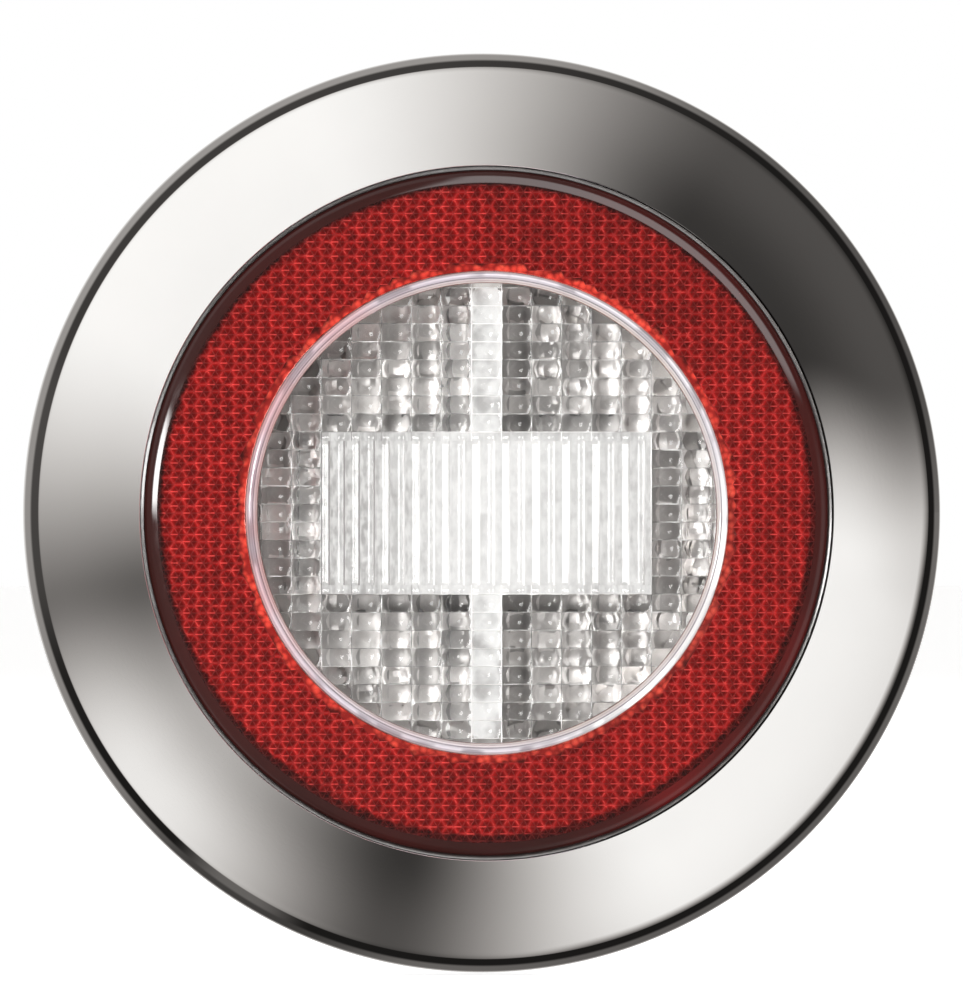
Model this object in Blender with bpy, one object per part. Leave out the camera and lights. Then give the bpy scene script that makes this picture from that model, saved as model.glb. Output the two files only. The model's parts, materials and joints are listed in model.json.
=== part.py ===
"""Round rear lamp for a trailer: clear centre lens, red reflector ring and clip-on trim ring.

Metres, +Z up. The lamp's axis is Y, its front faces -Y, and the vehicle's panel is the plane y = 0.
Each sub-part is one named object, made by its own function below.
"""

import math

import bmesh
import bpy

# Driving dimensions.
LAMP_R = 0.0700  # outside of the trim ring
LENS_R = 0.0524  # outside of the red lens
CLEAR_R = 0.03665  # outside of the clear lens's collar
FACE_Y = -0.0110  # front face of both lenses
LENS_WALL = 0.0025  # thickness of both lenses
COLLAR_PROUD = 0.0010  # the collar's height above the face
SKIRT_REAR_Y = -0.0062  # end of the red lens's skirt, which presses on the seal
RIM_FRONT_Y = -0.0045  # the reflector's rim, on which the clear lens and the back ring stand
FLOOR_Y = 0.0240  # inside of the housing's floor
GAP = 0.0003  # clearance between pieces that touch or rest on each other
BIG_ROUND = 48  # sides of the large turned pieces
TRIM_ROUND = 60  # sides of the trim ring, which shows the most
SMALL_ROUND = 24  # sides of screws and small turned pieces, a multiple of 6 for the six-lobed sockets
HOLE_ROUND = 12  # sides of bosses and drilled holes
MERGE = 1e-6

# Trim ring: a cone between a creased, rounded skirt and an inner lip.
TRIM_WALL = 0.0018
TRIM_REAR_Y = -0.0005
SKIRT_ARC_R = 0.0050
SKIRT_ARC_Y = -0.0015  # height of the arc's centre
CREASE_TILT = math.radians(35.0)
LIP_R = LENS_R + GAP
LIP_Y = -0.0112
LIP_REAR_Y = -0.0076
LIP_ROUND = 0.0004
LIP_WALL = 0.0015
LEG_COUNT = 6
LEG_SIZE = (0.0014, 0.0051, 0.0080)  # radial, along the axis, across
LEG_R = 0.0644
LEG_REAR_Y = -0.0009

# Flange, gasket and mounting screws.
FLANGE_R = 0.0630
FLANGE_REAR_Y = -0.0023
FLANGE_FRONT_Y = -0.0049
GASKET_FRONT_Y = -0.0020
GASKET_IN_R = 0.0498
SCREW_CIRCLE_R = 0.0580
SCREW_ANGLES = (90.0, 210.0, 330.0)
SCREW_SHANK_R = 0.00195
SCREW_HEAD_R = 0.0037
SCREW_TIP_Y = 0.0180

# Housing cup.
CUP_R = 0.0485
CUP_WALL = 0.0020
CUP_DRAFT = 0.0008
FLOOR_WALL = 0.0020
LEDGE_Y = -0.0030
MOUTH_R = 0.0492
GROOVE_IN_R = LENS_R - 0.0024
GROOVE_OUT_R = LENS_R + 0.0001
GROOVE_Y = -0.0036
RIB_COUNT = 12
RIB_SIZE = (0.0016, 0.0220, 0.0016)  # radial, along the axis, across

# Board stack.
BOARD_R = 0.0430
BOARD_Y = 0.0075
BOARD_WALL = 0.0016
SPREADER_WALL = 0.0020
BOARD_SCREW_CIRCLE_R = 0.0395
BOSS_R = 0.0042
WINDOW_HALF_X = 0.0253
WINDOW_HALF_Z = 0.01245
COLUMN_HALF_X = 0.0026
COLUMN_HALF_Z = 0.0338
DIFFUSER_FRONT_Y = -0.0070
DIFFUSER_WALL = 0.0008

# Connector and vent on the back of the housing.
PLUG_Z = -0.0180
PLUG_FLANGE = (0.0380, 0.0020, 0.0160)
PLUG_SOCKET = (0.0220, 0.0114, 0.0140)
PLUG_CAVITY = (0.0180, 0.0100, 0.0100)
PLUG_SHANK = (0.0176, 0.0052, 0.0096)
PLUG_SCREW_X = 0.0150
PIN_X = 0.0040
PIN_SIZE = (0.0008, 0.0276, 0.0028)
SEAL_WALL = 0.0010
VENT_PLACE = (0.0180, 0.0200)  # x, z
VENT_R = 0.0060


def clear_scene():
    for obj in list(bpy.data.objects):
        bpy.data.objects.remove(obj)


def finish(name, colour, roughness, metallic=0.0, transmission=0.0):
    """A Principled material in one colour."""
    material = bpy.data.materials.new(name)
    material.use_nodes = True
    shader = material.node_tree.nodes["Principled BSDF"]
    shader.inputs["Base Color"].default_value = (*colour, 1.0)
    shader.inputs["Roughness"].default_value = roughness
    shader.inputs["Metallic"].default_value = metallic
    shader.inputs["Transmission Weight"].default_value = transmission
    return material


def mesh_from(shape, name):
    """Turns a bmesh into a smooth-shaded mesh with its faces pointing out."""
    bmesh.ops.recalc_face_normals(shape, faces=shape.faces)
    mesh = bpy.data.meshes.new(name)
    shape.to_mesh(mesh)
    shape.free()
    mesh.shade_smooth()
    mesh.set_sharp_from_angle(angle=math.radians(25.0))
    return mesh


def turned(name, section, sides=BIG_ROUND, core=False, hubs=False):
    """A section of (radius, y) points turned about Y.

    With core, the section starts and ends on the axis. Each flat end is then one face, or with hubs
    a fan of triangles round a hub.
    """
    shape = bmesh.new()
    points = [shape.verts.new((radius, y, 0.0)) for radius, y in section]
    following = points[1:] if core else points[1:] + points[:1]
    edges = [shape.edges.new(pair) for pair in zip(points, following)]
    bmesh.ops.spin(
        shape,
        geom=points + edges,
        cent=(0.0, 0.0, 0.0),
        axis=(0.0, 1.0, 0.0),
        angle=math.tau,
        steps=sides,
        use_merge=True,
    )
    bmesh.ops.remove_doubles(shape, verts=shape.verts, dist=MERGE)
    if core and not hubs:
        ends = (section[:2], section[:-3:-1])
        flat = [on_axis[1] for on_axis, beside in ends if abs(on_axis[1] - beside[1]) < MERGE]
        on_axis = [v for v in shape.verts if math.hypot(v.co.x, v.co.z) < MERGE]
        flat_hubs = [v for v in on_axis if any(abs(v.co.y - y) < MERGE for y in flat)]
        bmesh.ops.dissolve_verts(shape, verts=flat_hubs)
    return mesh_from(shape, name)


def block(name, size, bevel=0.0):
    """A box centred on its origin, with every edge bevelled if bevel is given."""
    shape = bmesh.new()
    bmesh.ops.create_cube(shape, size=1.0)
    bmesh.ops.scale(shape, verts=shape.verts, vec=size)
    if bevel:
        bmesh.ops.bevel(shape, geom=shape.edges, offset=bevel, segments=1, affect="EDGES", profile=0.5)
    return mesh_from(shape, name)


def rod(name, radius, front_y, rear_y, sides=HOLE_ROUND):
    """A plain cylinder along Y between two heights."""
    section = [(0.0, front_y), (radius, front_y), (radius, rear_y), (0.0, rear_y)]
    return turned(name, section, sides, core=True)


def cross_prism(name, shrink, front_y, rear_y):
    """The cross of the window and the middle column, drawn in by shrink and extruded along Y."""
    wide, low = WINDOW_HALF_X - shrink, WINDOW_HALF_Z - shrink
    slim, tall = COLUMN_HALF_X - shrink, COLUMN_HALF_Z - shrink
    quarter = [(wide, low), (slim, low), (slim, tall)]
    outline = quarter + [(-x, z) for x, z in reversed(quarter)]
    outline += [(-x, -z) for x, z in quarter] + [(x, -z) for x, z in reversed(quarter)]
    shape = bmesh.new()
    face = shape.faces.new([shape.verts.new((x, front_y, z)) for x, z in outline])
    made = bmesh.ops.extrude_face_region(shape, geom=[face])["geom"]
    moved = [item for item in made if isinstance(item, bmesh.types.BMVert)]
    bmesh.ops.translate(shape, verts=moved, vec=(0.0, rear_y - front_y, 0.0))
    return mesh_from(shape, name)


def arc(centre_r, centre_y, radius, first_tilt, last_tilt, steps):
    """Section points on an arc. A tilt is measured from the front direction towards the outside."""
    tilts = [first_tilt + (last_tilt - first_tilt) * i / steps for i in range(steps + 1)]
    return [(centre_r + radius * math.sin(t), centre_y - radius * math.cos(t)) for t in tilts]


def around(radius, degrees, y=0.0):
    angle = math.radians(degrees)
    return (radius * math.cos(angle), y, radius * math.sin(angle))


def add(name, mesh, material=None, location=(0.0, 0.0, 0.0), degrees=0.0):
    """Puts a mesh in the scene, turned about Y by degrees, counted as around() counts them."""
    obj = bpy.data.objects.new(name, mesh)
    obj.location = location
    obj.rotation_euler = (0.0, -math.radians(degrees), 0.0)
    bpy.context.scene.collection.objects.link(obj)
    if material and not mesh.materials:
        mesh.materials.append(material)
    return obj


def shaped_by(piece, operation, name, mesh, location=(0.0, 0.0, 0.0), degrees=0.0):
    """Cuts a helper shape from the piece, or joins it on."""
    tool = add(name, mesh, None, location, degrees)
    tool.hide_render = True
    tool.display_type = "WIRE"
    modifier = piece.modifiers.new(name, "BOOLEAN")
    modifier.operation = operation
    modifier.solver = "EXACT"
    modifier.object = tool


def screw(name, section, socket_r, sides=SMALL_ROUND):
    """A turned screw whose recess is a six-lobed socket."""
    mesh = turned(name, section, sides, core=True)
    for vertex in mesh.vertices:
        radius = math.hypot(vertex.co.x, vertex.co.z)
        if abs(radius - socket_r) < MERGE:
            lobe = 1.0 + 0.13 * math.cos(6.0 * math.atan2(vertex.co.z, vertex.co.x))
            vertex.co.x *= lobe
            vertex.co.z *= lobe
    return mesh


def make_trim_ring(material):
    """Cone, skirt and lip in one section, with straight clip legs on the back."""
    centre_r = LAMP_R - SKIRT_ARC_R
    crease_r = centre_r + SKIRT_ARC_R * math.sin(CREASE_TILT)
    crease_y = SKIRT_ARC_Y - SKIRT_ARC_R * math.cos(CREASE_TILT)
    cone_end_r = LIP_R + LIP_ROUND
    slope = (crease_y - LIP_Y) / (crease_r - cone_end_r)
    drop = TRIM_WALL * math.hypot(1.0, slope)
    shoulder_r = LIP_R + LIP_WALL
    shoulder_y = LIP_Y + slope * (shoulder_r - cone_end_r) + drop
    section = [(LAMP_R - TRIM_WALL, TRIM_REAR_Y), (LAMP_R, TRIM_REAR_Y)]
    section += arc(centre_r, SKIRT_ARC_Y, SKIRT_ARC_R, math.pi / 2, CREASE_TILT, 4)
    section += [(cone_end_r, LIP_Y), (LIP_R, LIP_Y + LIP_ROUND)]
    section += [(LIP_R, LIP_REAR_Y), (shoulder_r, LIP_REAR_Y), (shoulder_r, shoulder_y)]
    section += arc(centre_r, SKIRT_ARC_Y, SKIRT_ARC_R - TRIM_WALL, CREASE_TILT, math.pi / 2, 3)
    ring = add("trim_ring", turned("trim_ring", section, TRIM_ROUND), material)
    leg = block("clip_leg", LEG_SIZE)
    leg_y = LEG_REAR_Y - LEG_SIZE[1] / 2
    for i in range(LEG_COUNT):
        degrees = (i + 0.5) * 360.0 / LEG_COUNT
        shaped_by(ring, "UNION", f"clip_leg_{i + 1}", leg, around(LEG_R, degrees, leg_y), degrees)


def make_red_lens(material):
    """Flat prism field, rounded shoulder, narrow land and a skirt that presses on the seal."""
    skirt_in_r = LENS_R - 0.0022
    land_r, land_y = LENS_R - 0.0007, FACE_Y + 0.0011
    shoulder_r, shoulder_y = LENS_R - 0.0015, FACE_Y + 0.0003
    field_r = LENS_R - 0.0032
    bore_r = CLEAR_R + GAP
    back_y = FACE_Y + LENS_WALL
    edge = 0.0002
    section = [(skirt_in_r, SKIRT_REAR_Y), (LENS_R, SKIRT_REAR_Y), (LENS_R, land_y), (land_r, land_y)]
    section += [(land_r, land_y - edge), (shoulder_r, shoulder_y), (field_r, FACE_Y)]
    section += [(bore_r + edge, FACE_Y), (bore_r, FACE_Y + edge), (bore_r, back_y), (skirt_in_r, back_y)]
    add("red_reflector_lens", turned("red_reflector_lens", section), material)


def make_clear_lens(material):
    """Round lens with a raised collar, and a step behind the red lens that stands on the reflector's rim."""
    collar_in_r, collar_y = CLEAR_R - 0.0018, FACE_Y - COLLAR_PROUD
    edge = 0.0004
    back_y = FACE_Y + LENS_WALL
    step_r, step_y = CLEAR_R + 0.0016, back_y + GAP
    foot_in_r, foot_y = step_r - 0.0014, RIM_FRONT_Y - GAP
    section = [(0.0, FACE_Y), (collar_in_r, FACE_Y), (collar_in_r + edge, collar_y)]
    section += [(CLEAR_R - edge, collar_y), (CLEAR_R, collar_y + edge), (CLEAR_R, step_y)]
    section += [(step_r, step_y), (step_r, foot_y), (foot_in_r, foot_y), (foot_in_r, back_y), (0.0, back_y)]
    add("clear_centre_lens", turned("clear_centre_lens", section, core=True, hubs=True), material)


def make_back_ring(material):
    """Plate behind the prisms, on two round feet."""
    front_y = FACE_Y + LENS_WALL + GAP
    rear_y = front_y + 0.0010
    foot_y = RIM_FRONT_Y - GAP
    inner_r, outer_r = CLEAR_R + 0.0021, LENS_R - 0.0026
    foot_r, foot_wall = 0.0486, 0.0013
    section = [(inner_r, front_y), (outer_r, front_y), (outer_r, rear_y), (foot_r, rear_y)]
    section += [(foot_r, foot_y), (foot_r - foot_wall, foot_y), (foot_r - foot_wall, rear_y)]
    section += [(inner_r + foot_wall, rear_y), (inner_r + foot_wall, foot_y), (inner_r, foot_y)]
    add("reflector_back_ring", turned("reflector_back_ring", section), material)


def make_lens_seal(material):
    inner_r, outer_r = GROOVE_IN_R + GAP, GROOVE_OUT_R - GAP
    front_y, rear_y = SKIRT_REAR_Y + GAP, GROOVE_Y - GAP
    section = [(inner_r, rear_y), (outer_r, rear_y), (outer_r, front_y), (inner_r, front_y)]
    add("lens_seal", turned("lens_seal", section), material)


def make_inner_reflector(material):
    """Silvered pan: a rim on the housing's ledge, a steep wall, and a floor with the cross let through."""
    rim_r, rim_rear_y = MOUTH_R - GAP, LEDGE_Y - GAP
    floor_front_y, floor_rear_y = 0.0050, 0.0062
    mouth_r, floor_r, wall = 0.0362, 0.0346, 0.0011
    section = [(0.0, floor_rear_y), (floor_r + wall, floor_rear_y), (mouth_r + wall, rim_rear_y)]
    section += [(rim_r, rim_rear_y), (rim_r, RIM_FRONT_Y), (mouth_r, RIM_FRONT_Y)]
    section += [(floor_r, floor_front_y), (0.0, floor_front_y)]
    mesh = turned("inner_reflector", section, core=True)
    pan = add("inner_reflector", mesh, material)
    cutter = cross_prism("reflector_opening", -GAP, floor_front_y - 0.002, floor_rear_y + 0.002)
    shaped_by(pan, "DIFFERENCE", "reflector_opening", cutter)


def make_diffuser(material):
    """Cross-shaped light box: closed at the front, open towards the LEDs."""
    rear_y = BOARD_Y - GAP
    outer = cross_prism("diffuser_insert", 0.0, DIFFUSER_FRONT_Y, rear_y)
    diffuser = add("diffuser_insert", outer, material)
    hollow = cross_prism("diffuser_hollow", DIFFUSER_WALL, DIFFUSER_FRONT_Y + 0.0012, rear_y + 0.002)
    shaped_by(diffuser, "DIFFERENCE", "diffuser_hollow", hollow)


def make_board(material):
    rear_y = BOARD_Y + BOARD_WALL
    board = add("led_board", rod("led_board", BOARD_R, BOARD_Y, rear_y, BIG_ROUND), material)
    hole = rod("board_hole", 0.0016, BOARD_Y - 0.002, rear_y + 0.002)
    for i, degrees in enumerate(SCREW_ANGLES):
        place = around(BOARD_SCREW_CIRCLE_R, degrees)
        shaped_by(board, "DIFFERENCE", f"board_hole_{i + 1}", hole, place)


def make_leds(material):
    """Five LEDs up the middle column and two each side of the centre one, inside the diffuser."""
    size = (0.0028, 0.0016, 0.0034)
    mesh = block("led", size, bevel=0.0003)
    column = [(0.0, z) for z in (0.026, 0.013, 0.0, -0.013, -0.026)]
    row = [(x, 0.0) for x in (-0.018, -0.009, 0.009, 0.018)]
    for i, (x, z) in enumerate(column + row):
        add(f"led_{i + 1}", mesh, material, (x, BOARD_Y - GAP - size[1] / 2, z))


def make_heat_spreader(material):
    """Aluminium disc behind the board, with a window for the driver parts and the contact pins."""
    front_y = BOARD_Y + BOARD_WALL + GAP
    rear_y = front_y + SPREADER_WALL
    plate = add("heat_spreader", rod("heat_spreader", BOARD_R, front_y, rear_y, BIG_ROUND), material)
    window = block("driver_window", (0.044, 0.008, 0.036))
    shaped_by(plate, "DIFFERENCE", "driver_window", window, (0.0, front_y, -0.006))
    hole = rod("spreader_hole", 0.0016, front_y - 0.002, rear_y + 0.002)
    for i, degrees in enumerate(SCREW_ANGLES):
        place = around(BOARD_SCREW_CIRCLE_R, degrees)
        shaped_by(plate, "DIFFERENCE", f"spreader_hole_{i + 1}", hole, place)


def make_driver(black, silver, blue):
    """Driver parts on the back of the board: name, size, bevel, place across the board and finish."""
    seat_y = BOARD_Y + BOARD_WALL + GAP
    parts = [
        ("driver_choke", (0.0120, 0.0060, 0.0120), 0.0015, (-0.0120, 0.0020), black),
        ("driver_chip", (0.0050, 0.0016, 0.0040), 0.0002, (0.0000, 0.0050), black),
        ("polarity_diode", (0.0046, 0.0022, 0.0038), 0.0003, (0.0000, -0.0040), black),
        ("current_resistor_1", (0.0063, 0.0008, 0.0032), 0.0001, (-0.0130, -0.0120), blue),
        ("current_resistor_2", (0.0063, 0.0008, 0.0032), 0.0001, (0.0130, -0.0120), blue),
    ]
    for name, size, bevel, (x, z), material in parts:
        add(name, block(name, size, bevel), material, (x, seat_y + size[1] / 2, z))
    can_r, can_y = 0.0040, seat_y + 0.0100
    section = [(0.0, seat_y), (can_r, seat_y), (can_r, can_y - 0.0004), (can_r - 0.0004, can_y), (0.0, can_y)]
    can = turned("input_capacitor", section, SMALL_ROUND, core=True)
    add("input_capacitor", can, silver, (0.0120, 0.0, 0.0010))


def make_board_screws(material):
    """Pan-head screws through the board and the heat spreader into the housing's bosses."""
    seat_y = BOARD_Y - GAP
    top_y = seat_y - 0.0020
    recess_y, tip_y = top_y + 0.0012, 0.0200
    socket_r, shank_r, head_r, edge = 0.0013, 0.0012, 0.0026, 0.0007
    section = [(0.0, recess_y), (socket_r, recess_y), (socket_r, top_y), (head_r - edge, top_y)]
    section += [(head_r, top_y + edge), (head_r, seat_y), (shank_r, seat_y)]
    section += [(shank_r, tip_y - 0.0010), (0.0, tip_y)]
    mesh = screw("board_screw", section, socket_r, HOLE_ROUND)
    for i, degrees in enumerate(SCREW_ANGLES):
        place = around(BOARD_SCREW_CIRCLE_R, degrees)
        add(f"board_screw_{i + 1}", mesh, material, place)


def make_housing(material):
    """Flanged cup with a seal groove, a ledge for the reflector, bosses, ribs and rear openings."""
    rear_y = FLOOR_Y + FLOOR_WALL
    foot_r = CUP_R - CUP_DRAFT
    section = [(0.0, rear_y), (foot_r - 0.0015, rear_y), (foot_r, rear_y - 0.0015), (CUP_R, FLANGE_REAR_Y)]
    section += [(FLANGE_R, FLANGE_REAR_Y), (FLANGE_R, FLANGE_FRONT_Y), (GROOVE_OUT_R, FLANGE_FRONT_Y)]
    section += [(GROOVE_OUT_R, GROOVE_Y), (GROOVE_IN_R, GROOVE_Y), (GROOVE_IN_R, FLANGE_FRONT_Y)]
    section += [(MOUTH_R, FLANGE_FRONT_Y), (MOUTH_R, LEDGE_Y), (CUP_R - CUP_WALL, LEDGE_Y)]
    section += [(foot_r - CUP_WALL, FLOOR_Y), (0.0, FLOOR_Y)]
    cup = add("housing", turned("housing", section, core=True), material)

    rib = block("cup_rib", RIB_SIZE)
    rib_y = FLANGE_REAR_Y - 0.0004 + RIB_SIZE[1] / 2
    for i in range(RIB_COUNT):
        degrees = i * 360.0 / RIB_COUNT
        shaped_by(cup, "UNION", f"cup_rib_{i + 1}", rib, around(CUP_R, degrees, rib_y), degrees)

    boss_front_y = BOARD_Y + BOARD_WALL + SPREADER_WALL + 2 * GAP
    boss = rod("board_boss", BOSS_R, boss_front_y, FLOOR_Y + 0.0005)
    stud = rod("plug_boss", 0.0030, 0.0190, FLOOR_Y + 0.0005)
    plug_places = [(-PLUG_SCREW_X, 0.0, PLUG_Z), (PLUG_SCREW_X, 0.0, PLUG_Z)]
    for i, degrees in enumerate(SCREW_ANGLES):
        shaped_by(cup, "UNION", f"board_boss_{i + 1}", boss, around(BOARD_SCREW_CIRCLE_R, degrees))
    for i, place in enumerate(plug_places):
        shaped_by(cup, "UNION", f"plug_boss_{i + 1}", stud, place)

    pilot = rod("board_pilot", 0.0015, boss_front_y - 0.001, 0.0210)
    stud_pilot = rod("plug_pilot", 0.0014, 0.0200, rear_y + 0.001)
    seat = countersink()
    for i, degrees in enumerate(SCREW_ANGLES):
        shaped_by(cup, "DIFFERENCE", f"board_pilot_{i + 1}", pilot, around(BOARD_SCREW_CIRCLE_R, degrees))
        shaped_by(cup, "DIFFERENCE", f"flange_hole_{i + 1}", seat, around(SCREW_CIRCLE_R, degrees))
    for i, place in enumerate(plug_places):
        shaped_by(cup, "DIFFERENCE", f"plug_pilot_{i + 1}", stud_pilot, place)
    opening = block("plug_opening", (PLUG_SHANK[0] + 2 * GAP, 0.010, PLUG_SHANK[2] + 2 * GAP))
    shaped_by(cup, "DIFFERENCE", "plug_opening", opening, (0.0, rear_y, PLUG_Z))
    vent = rod("vent_hole", 0.0020, FLOOR_Y - 0.002, rear_y + 0.002)
    shaped_by(cup, "DIFFERENCE", "vent_hole", vent, (VENT_PLACE[0], 0.0, VENT_PLACE[1]))


def countersink():
    """Cutter for a countersunk hole in the flange, GAP larger all round than the screw."""
    hole_r = SCREW_SHANK_R + GAP
    mouth_r = SCREW_HEAD_R + GAP
    neck_y = FLANGE_FRONT_Y + (mouth_r - hole_r)
    section = [(0.0, FLANGE_FRONT_Y - 0.001), (mouth_r, FLANGE_FRONT_Y - 0.001), (mouth_r, FLANGE_FRONT_Y)]
    section += [(hole_r, neck_y), (hole_r, FLANGE_REAR_Y + 0.001), (0.0, FLANGE_REAR_Y + 0.001)]
    return turned("countersink", section, SMALL_ROUND, core=True)


def make_gasket(material):
    section = [(GASKET_IN_R, 0.0), (FLANGE_R, 0.0), (FLANGE_R, GASKET_FRONT_Y), (GASKET_IN_R, GASKET_FRONT_Y)]
    gasket = add("panel_gasket", turned("panel_gasket", section), material)
    hole = rod("gasket_hole", 0.0026, GASKET_FRONT_Y - 0.001, 0.001)
    for i, degrees in enumerate(SCREW_ANGLES):
        shaped_by(gasket, "DIFFERENCE", f"gasket_hole_{i + 1}", hole, around(SCREW_CIRCLE_R, degrees))


def make_mounting_screws(material):
    """Countersunk screws that hold the flange and the gasket to the panel."""
    top_y = FLANGE_FRONT_Y + 0.0001
    neck_y = top_y + (SCREW_HEAD_R - SCREW_SHANK_R)
    socket_r, recess_y = 0.0018, top_y + 0.0014
    section = [(0.0, recess_y), (socket_r, recess_y), (socket_r, top_y), (SCREW_HEAD_R, top_y)]
    section += [(SCREW_SHANK_R, neck_y), (SCREW_SHANK_R, SCREW_TIP_Y - 0.0025), (0.0, SCREW_TIP_Y)]
    mesh = screw("mounting_screw", section, socket_r)
    for i, degrees in enumerate(SCREW_ANGLES):
        add(f"mounting_screw_{i + 1}", mesh, material, around(SCREW_CIRCLE_R, degrees))


def make_connector(shell_finish, seal_finish, screw_finish, pin_finish):
    """Two-pole socket on the back of the housing, with its seal, screws and blades."""
    seal_front_y = FLOOR_Y + FLOOR_WALL + GAP
    flange_y = seal_front_y + SEAL_WALL + GAP
    flange_rear_y = flange_y + PLUG_FLANGE[1]
    socket_rear_y = flange_rear_y + PLUG_SOCKET[1]
    pin_front_y = BOARD_Y + BOARD_WALL + GAP

    flange = block("connector_shell", PLUG_FLANGE, bevel=0.0004)
    shell = add("connector_shell", flange, shell_finish, (0.0, flange_y + PLUG_FLANGE[1] / 2, PLUG_Z))
    overlap = 0.0006
    socket = block("socket_wall", (PLUG_SOCKET[0], PLUG_SOCKET[1] + overlap, PLUG_SOCKET[2]), bevel=0.0005)
    socket_y = flange_rear_y + (PLUG_SOCKET[1] - overlap) / 2
    shaped_by(shell, "UNION", "socket_wall", socket, (0.0, socket_y, PLUG_Z))
    latch = block("plug_latch", (0.0060, 0.0030, 0.0024))
    latch_z = PLUG_Z + PLUG_SOCKET[2] / 2
    shaped_by(shell, "UNION", "plug_latch", latch, (0.0, socket_rear_y - 0.0040, latch_z))
    shank = block("plug_shank", (PLUG_SHANK[0], PLUG_SHANK[1] + overlap, PLUG_SHANK[2]))
    shank_y = flange_y - (PLUG_SHANK[1] - overlap) / 2
    shaped_by(shell, "UNION", "plug_shank", shank, (0.0, shank_y, PLUG_Z))
    cavity = block("plug_cavity", (PLUG_CAVITY[0], 2 * PLUG_CAVITY[1], PLUG_CAVITY[2]))
    shaped_by(shell, "DIFFERENCE", "plug_cavity", cavity, (0.0, socket_rear_y, PLUG_Z))

    hole_size = (PIN_SIZE[0] + 2 * GAP, 0.020, PIN_SIZE[2] + 2 * GAP)
    pin_hole = block("pin_hole", hole_size)
    pin = block("contact_pin", PIN_SIZE, bevel=0.0002)
    for name, x in (("positive", PIN_X), ("negative", -PIN_X)):
        shaped_by(shell, "DIFFERENCE", f"pin_hole_{name}", pin_hole, (x, flange_y, PLUG_Z))
        add(f"contact_pin_{name}", pin, pin_finish, (x, pin_front_y + PIN_SIZE[1] / 2, PLUG_Z))

    seal_size = (PLUG_FLANGE[0], SEAL_WALL, PLUG_FLANGE[2])
    seal_y = seal_front_y + SEAL_WALL / 2
    seal = add("connector_seal", block("connector_seal", seal_size), seal_finish, (0.0, seal_y, PLUG_Z))
    seal_hole = block("seal_hole", (PLUG_SHANK[0] + 2 * GAP, 0.010, PLUG_SHANK[2] + 2 * GAP))
    shaped_by(seal, "DIFFERENCE", "seal_hole", seal_hole, (0.0, seal_y, PLUG_Z))

    clearance = rod("plug_screw_hole", 0.0014, seal_front_y - 0.002, flange_rear_y + 0.002)
    mesh = connector_screw(flange_rear_y + GAP)
    for i, x in enumerate((-PLUG_SCREW_X, PLUG_SCREW_X)):
        shaped_by(shell, "DIFFERENCE", f"shell_hole_{i + 1}", clearance, (x, 0.0, PLUG_Z))
        shaped_by(seal, "DIFFERENCE", f"seal_hole_{i + 1}", clearance, (x, 0.0, PLUG_Z))
        add(f"connector_screw_{i + 1}", mesh, screw_finish, (x, 0.0, PLUG_Z))


def connector_screw(seat_y):
    """Pan-head screw put in from the back, so its head is at the rear."""
    top_y = seat_y + 0.0016
    recess_y, tip_y = top_y - 0.0010, 0.0204
    socket_r, shank_r, head_r, edge = 0.0011, 0.0010, 0.0024, 0.0006
    section = [(0.0, tip_y), (shank_r, tip_y + 0.0010), (shank_r, seat_y), (head_r, seat_y)]
    section += [(head_r, top_y - edge), (head_r - edge, top_y), (socket_r, top_y)]
    section += [(socket_r, recess_y), (0.0, recess_y)]
    return screw("connector_screw", section, socket_r)


def make_vent(cap_finish, membrane_finish):
    """Breather: a membrane over the vent hole, under a cap with side slots."""
    seat_y = FLOOR_Y + FLOOR_WALL + GAP
    roof_y = seat_y + 0.0017
    top_y = roof_y + 0.0013
    edge = 0.0005
    bore_r = VENT_R - 0.0014
    place = (VENT_PLACE[0], 0.0, VENT_PLACE[1])
    section = [(0.0, roof_y), (bore_r, roof_y), (bore_r, seat_y), (VENT_R, seat_y)]
    section += [(VENT_R, top_y - edge), (VENT_R - edge, top_y), (0.0, top_y)]
    cap = add("vent_cap", turned("vent_cap", section, SMALL_ROUND, core=True), cap_finish, place)
    slot = block("vent_slot", (0.0160, 0.0008, 0.0016))
    slot_place = (place[0], seat_y + 0.0004, place[2])
    for i, degrees in enumerate((0.0, 90.0)):
        shaped_by(cap, "DIFFERENCE", f"vent_slot_{i + 1}", slot, slot_place, degrees)
    disc = rod("vent_membrane", bore_r - 0.0005, seat_y, seat_y + 0.0004, SMALL_ROUND)
    add("vent_membrane", disc, membrane_finish, place)


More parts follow.
